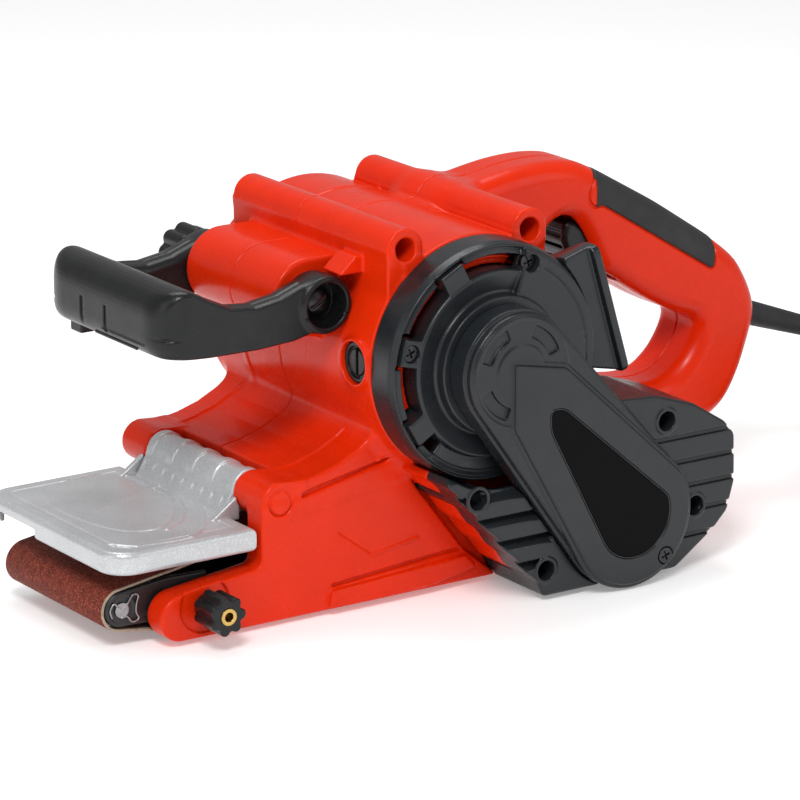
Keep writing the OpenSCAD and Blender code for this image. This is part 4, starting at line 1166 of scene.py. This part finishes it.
def build_front_yoke(field):
    cheek = polygon([(-105, 8.3), (-84, 7.6), (-66, 7.6), (-66, 24), (-84, 24.4), (-105, 22.4)])
    for low, high in ((-37.2, -34.6), (34.6, 37.2)):
        field.add(prism(circle(NOSE, 7.2) | cheek, low, high, 0.6))
        out = low if low < 0 else high
        rib = ring(NOSE, 6.6, 5.4) | stroke([(-100, 12), (-86, 12), (-74, 15)], 1.4)
        field.add(prism(rib, out - 0.35, out + 0.35, 0.2), 0.3)
    field.add(prism(box(-93, -36, -84, 36), 9, 20, 1.0, axis=2), 1)
    field.add(prism(box(-93, -14, -44, 14), 9, 17, 0.8, axis=2), 1)
    field.cut(rod((-52, 0, 13), (-40, 0, 13), 3.1))
    field.add(rod((-53, 0, 13), (-37, 0, 13), 1.2, 0.3))
    field.cut(disc(NOSE, 3, -40, 40))


# --------------------------------------------------------- swept and turned


def frames_along(path):
    """Points with a pair of cross directions that turn as little as they can."""
    p = np.array(path, float)
    ahead = np.gradient(p, axis=0)
    ahead /= np.linalg.norm(ahead, axis=1)[:, None]
    side = np.cross(ahead[0], (0.1, 0.2, 1.0))
    sides = []
    for a in ahead:
        side = side - a * (side @ a)
        side /= np.linalg.norm(side)
        sides.append(side.copy())
    sides = np.array(sides)
    return p, ahead, sides, np.cross(ahead, sides)


def sweep(name, path, radius, material, around=20):
    """A closed round tube along a path in millimetres."""
    p, ahead, side, up = frames_along(path)
    turn = np.linspace(0, 2 * math.pi, around, endpoint=False)
    across, along = (radius * wave(turn)[None, :, None] for wave in (np.cos, np.sin))
    loops = p[:, None] + across * side[:, None] + along * up[:, None]
    points = list(loops.reshape(-1, 3)) + [p[0], p[-1]]
    last = (len(p) - 1) * around
    caps = [(len(points) - 2, (k + 1) % around, k) for k in range(around)]
    caps += [(len(points) - 1, last + k, last + (k + 1) % around) for k in range(around)]
    return make_shape(name, points, between_loops(len(p), around) + caps, material)


def turned(name, profile, start, ahead, material, around=64):
    """A profile of [distance ahead, radius] points turned about a line, closed at its ends."""
    ahead = np.array(ahead, float) / np.linalg.norm(ahead)
    side = np.cross(ahead, (0.3, 1, 0.2))
    side /= np.linalg.norm(side)
    up = np.cross(ahead, side)
    turn = np.linspace(0, 2 * math.pi, around, endpoint=False)
    points = [
        np.array(start) + ahead * along + r * (side * math.cos(a) + up * math.sin(a))
        for along, r in profile
        for a in turn
    ]
    faces = between_loops(len(profile), around) + [tuple(reversed(range(around)))]
    faces.append(tuple((len(profile) - 1) * around + k for k in range(around)))
    obj = make_shape(name, points, faces, material)
    split_edges(obj, 50)
    return obj


def eased(t):
    t = min(max(t, 0.0), 1.0)
    return t * t * (3 - 2 * t)


def coil_points():
    """The stored turns, clockwise from the far side: two columns, each layer laid on the last.

    Each move is (turn where it starts, change of radius, change of layer).
    """
    step = COIL_INNER - COIL_OUTER
    moves = (
        (0.8, step, 0), (1.55, 0, 1), (2.5, -step, 0), (3.3, 0, 1), (4.25, step, 0), (5.0, 0, 1),
        (5.95, -step, 0),
    )
    turns, per_turn, layer = 6.5, 48, CORD_D + 0.05
    points = []
    for i in range(1, int(turns * per_turn) + 1):
        t = i / per_turn
        r = COIL_OUTER + sum(dr * eased((t - at) / 0.2) for at, dr, _ in moves)
        z = 3.8 + layer * sum(up * eased((t - at) / 0.2) for at, _, up in moves)
        a = -2 * math.pi * t
        points.append((COIL_AT[0] + r * math.cos(a), COIL_AT[1] + r * math.sin(a), z))
    return points


def smooth_route(points, spacing=2.5):
    """The same route as one smooth curve, with its points evenly spaced."""
    p = np.array(points, float)
    ends = np.vstack([2 * p[0] - p[1], p, 2 * p[-1] - p[-2]])
    dense = []
    for a, b, c, d in zip(ends, ends[1:], ends[2:], ends[3:]):
        for t in np.linspace(0, 1, 12, endpoint=False):
            dense.append(
                0.5 * (2 * b + (c - a) * t + (2 * a - 5 * b + 4 * c - d) * t**2
                       + (3 * b - a - 3 * c + d) * t**3)
            )
    dense.append(p[-1])
    dense = np.array(dense)
    along = np.concatenate([[0], np.cumsum(np.linalg.norm(np.diff(dense, axis=0), axis=1))])
    even = np.linspace(0, along[-1], int(along[-1] / spacing) + 1)
    return np.stack([np.interp(even, along, dense[:, i]) for i in range(3)], 1)


def make_cord():
    boot_tip = EXIT + AHEAD * BOOT_LEN
    lead_in = [boot_tip - AHEAD * 12, boot_tip - AHEAD * 5]
    raw = lead_in + CORD_ROUTE + coil_points()[:-1] + [(250, -58, 26.45)] + TAIL_ROUTE
    turn = np.array([*unit(PLUG_TURN), 0])
    raw += [tuple(PLUG_AT + 6 * turn)]
    route = smooth_route(raw)
    cord = sweep("mains_lead", route, CORD_D / 2, FINISHES["cord_skin"])
    dress(cord, "housing", "rubber", "cord_tube", "cord_coil", "cord_tail")
    plug = make_plug(turn)


def make_plug(ahead):
    """A moulded plug: a flat oval body with grip ridges and a ribbed neck."""
    c, s = ahead[0], ahead[1]

    def local(solid_of):
        def distance(x, y, z):
            x, y, z = (q - FLOAT(at) for q, at in zip((x, y, z), PLUG_AT))
            return solid_of(x * FLOAT(c) + y * FLOAT(s), y * FLOAT(c) - x * FLOAT(s), z)

        return Solid(distance, PLUG_AT - 45, PLUG_AT + 45)

    def body(u, v, w):
        t = np.clip((u - 6) / 20, 0, 1)
        half = 11.0 + 4.5 * t * t * (3 - 2 * t)
        flat = np.hypot(np.maximum(np.abs(v) - (half - 9.6), 0), w) - 9.6
        ends = np.abs(u - FLOAT(21.5)) - FLOAT(13.5)
        both = np.hypot(np.maximum(flat + 1.5, 0), np.maximum(ends + 1.5, 0))
        return np.minimum(np.maximum(flat + 1.5, ends + 1.5), 0) + both - 1.5

    def neck(u, v, w):
        away = np.hypot(v, w) - (5.8 - 0.06 * u)
        return np.maximum(away, np.abs(u - 5) - 5)

    def grip(u, v, w):
        ridge = np.abs(np.mod(u, 3.2) - 1.6) - 0.5
        reach = np.maximum(np.abs(u - 17) - 7, np.abs(v) - 7)
        return np.maximum(np.maximum(ridge, reach), 9.0 - np.abs(w))

    def ribs(u, v, w):
        ridge = np.abs(np.mod(u, 2.4) - 1.2) - 0.4
        return np.maximum(np.maximum(ridge, np.abs(u - 4) - 4), 5.0 - np.hypot(v, w))

    def build(field):
        field.add(local(body))
        field.add(local(neck), 1.5)
        field.cut(local(grip), 0.4)
        field.cut(local(ribs), 0.3)

    low = PLUG_AT + np.array([-10, -12, -11.5])
    high = PLUG_AT + np.array([44, 36, 11.5])
    return mould("mains_plug", low, high, 0.4, build, "housing", "black_plastic", "plug_body")


def make_boot():
    profile = [(-12, 0.0), (-12, 5.4), (1.5, 5.4), (1.8, 5.6), (3.4, 5.55)]
    profile += [(40.5, 4.45), (44.2, 4.35), (45, 4.0), (45, 0.0)]
    profile = [(a, max(r, 0.02)) for a, r in profile]
    boot = turned("cord_boot", profile, EXIT, AHEAD, FINISHES["rubber"])
    dress(boot, "housing", "rubber", "strain_relief")


def belt_path(inset):
    start, end = np.array([-HALF_FACE, inset]), np.array([HALF_FACE, inset])
    nose_r, drive_r = 8.9 - inset, 26 - inset
    top = touch(NOSE, nose_r, DRIVE, drive_r, 1)
    front = touch(NOSE, nose_r, start, 0, -1)
    rear = touch(end, 0, DRIVE, drive_r, -1)
    bends = arc(NOSE, nose_r, top, 360 + front, 24) + [start]
    flat = [start + (end - start) * t for t in np.linspace(0, 1, 28)[1:-1]]
    over = arc(DRIVE, drive_r, rear, top, 36)
    first, last = over[-1], bends[0]
    back = [first + (last - first) * t for t in np.linspace(0, 1, 40)[1:-1]]
    return bends + flat + [end] + over + back


def make_belt():
    """A cloth-backed belt: grit outside, cloth inside, and edges that fray a little."""
    outer, inner = belt_path(0.0), belt_path(1.0)
    count, half = len(outer), 37.5
    rows = [(outer, -half, 0.22), (outer, 0.4 - half, 0), (outer, half - 0.4, 0)]
    rows += [(outer, half, 0.22), (inner, half, 0), (inner, -half, 0)]
    points = []
    for path, y, sunk in rows:
        for i, at in enumerate(path):
            out = np.array(outer[i]) - np.array(inner[i])
            out /= max(np.hypot(*out), 1e-6)
            spot = np.array(at) - out * sunk
            fray = abs(0.12 * math.sin(i * 2.1) + 0.08 * math.sin(i * 5.3 + 1))
            across = y - math.copysign(fray, y) if abs(y) == half else y
            points.append((spot[0], across, spot[1]))
    faces = between_loops(len(rows), count, closed=True)
    obj = make_shape("abrasive_belt", points, faces, FINISHES["abrasive"], FINISHES["belt_cloth"])
    mesh = obj.data
    of_cloth = np.array([row != 1 for row in range(len(rows)) for _ in range(count)], np.int32)
    mesh.polygons.foreach_set("material_index", of_cloth)
    grid = bmesh.new()
    grid.from_mesh(mesh)
    bmesh.ops.recalc_face_normals(grid, faces=grid.faces)
    grid.to_mesh(mesh)
    grid.free()
    split_edges(obj, 40)
    dress(obj, "housing", "abrasive", "sanding_belt")


# The wire's bends, counted from the middle of the axle
CLIP_BENDS = (
    (-4.4, -2.6), (-5.2, 0.6), (-3.4, 3.2), (-1.6, 1.4), (0.6, 0.4), (2.8, 2.6), (5.0, 5.4),
    (7.4, 4.8), (6.6, 1.6), (6.4, -1.8), (7.6, -4.6), (4.6, -5.4), (2.2, -2.8), (-0.4, -3.2),
)


def make_roller_clips():
    """A bent wire clip over each end of the roller's axle."""
    for side in (-1, 1):
        y = side * 37.75
        path = smooth_route([(NOSE[0] + x, y, NOSE[1] + z) for x, z in CLIP_BENDS], 0.6)
        name = "axle_clip_near" if side < 0 else "axle_clip_far"
        clip = sweep(name, path, 0.42, FINISHES["steel"], 10)
        dress(clip, "front_yoke", "steel", "axle_clips")


# --------------------------------------------------------------- CAD pieces


def finish_cad_nodes():
    """The CAD's own pieces keep their shape, with softened edges and a real finish."""
    slots = {part["node"]: part["material_slot"] for part in frame["record"]["subparts"]}
    for name, obj in frame["nodes"].items():
        if obj.hide_render:
            continue
        obj.data.materials.clear()
        obj.data.materials.append(FINISHES[slots[name]])
        weld = obj.modifiers.new("weld", "WELD")
        weld.merge_threshold = 1e-6
        bevel = obj.modifiers.new("bevel", "BEVEL")
        bevel.width, bevel.segments, bevel.limit_method = 0.00018, 2, "ANGLE"
        bevel.angle_limit = math.radians(35)
        bevel.harden_normals = True


# Name, two corners of the block, step, build, body, slot, CAD node, and a finish if not the slot's
PIECES = [
    ("end_cover", (-4, -78, 49), (96, -56, 148), 0.5, build_end_cover,
     "housing", "dark_plastic", "motor_end_cover"),
    ("base_cover", (4, -86, 1), (158.5, -45, 82), 0.5, build_base_cover,
     "housing", "dark_plastic", "drive_cover_base"),
    ("arm_cover", (20, -93, 0), (131, -77, 124), 0.45, build_arm,
     "housing", "dark_plastic", "drive_cover_arm"),
    ("inlay", (56, -92.5, 10), (122, -90.5, 85), 0.3, build_inlay,
     "housing", "black_gloss", "cover_inlay"),
    ("inlay_rim", (56, -92.5, 10), (122, -90.5, 85), 0.25, build_inlay_rim,
     "housing", "dark_screw", "cover_inlay"),
    ("dust_port", (82, -73, 83), (119, -29, 141), 0.5, build_dust_outlet,
     "housing", "dark_plastic", "dust_outlet"),
    ("belt_cover", (-116, -50, 31), (-31, 55, 59), 0.5, build_front_cover,
     "front_cover", "cast_silver", "front_cover"),
    ("auxiliary_handle", (-88, -40, 100), (4, 57, 138), 0.5, build_front_handle,
     "front_handle", "black_plastic", "front_handle"),
    ("tilt_bolt", (-18, -34, 114), (-2, 67, 131), 0.35, build_handle_bolt,
     "front_handle", "steel", "handle_bolt", "dark_screw"),
    ("tilt_knob", (-22, 56, 110), (3, 72, 135), 0.35, build_clamp_knob,
     "clamp_knob", "black_plastic", "clamp_knob"),
    ("adjuster", (-84, -68, 6), (-66, -49, 24), 0.25, build_tracking_knob,
     "tracking_knob", "black_plastic", "tracking_knob"),
    ("rear_brush_cap", (85, -57, 90), (96, -37, 111), 0.3, build_brush_cap(1),
     "housing", "black_plastic", "brush_caps"),
    ("front_brush_cap", (-4, -57, 90), (7, -37, 111), 0.3, build_brush_cap(-1),
     "housing", "black_plastic", "brush_caps"),
    ("switch_lever", (128, -4, 99), (159, 20, 131), 0.35, build_trigger,
     "trigger", "black_plastic", "trigger"),
    ("lock_on_button", (160, 17, 108), (172, 30, 120), 0.25, build_lock_button,
     "lock_button", "black_plastic", "lock_button"),
    ("grip_pad", (143, -10, 98), (213, 26, 150), 0.5, build_handle_pad,
     "housing", "rubber", "handle_pad"),
    ("roller_yoke", (-113, -40, 6), (-36, 40, 26), 0.4, build_front_yoke,
     "front_yoke", "black_metal", "front_yoke"),
]


def build_all():
    make_cord()
    make_boot()
    make_housing()
    for piece in PIECES:
        mould(*piece)
    make_belt()
    make_roller_clips()
    finish_cad_nodes()


make_camera()
make_studio()
build_all()
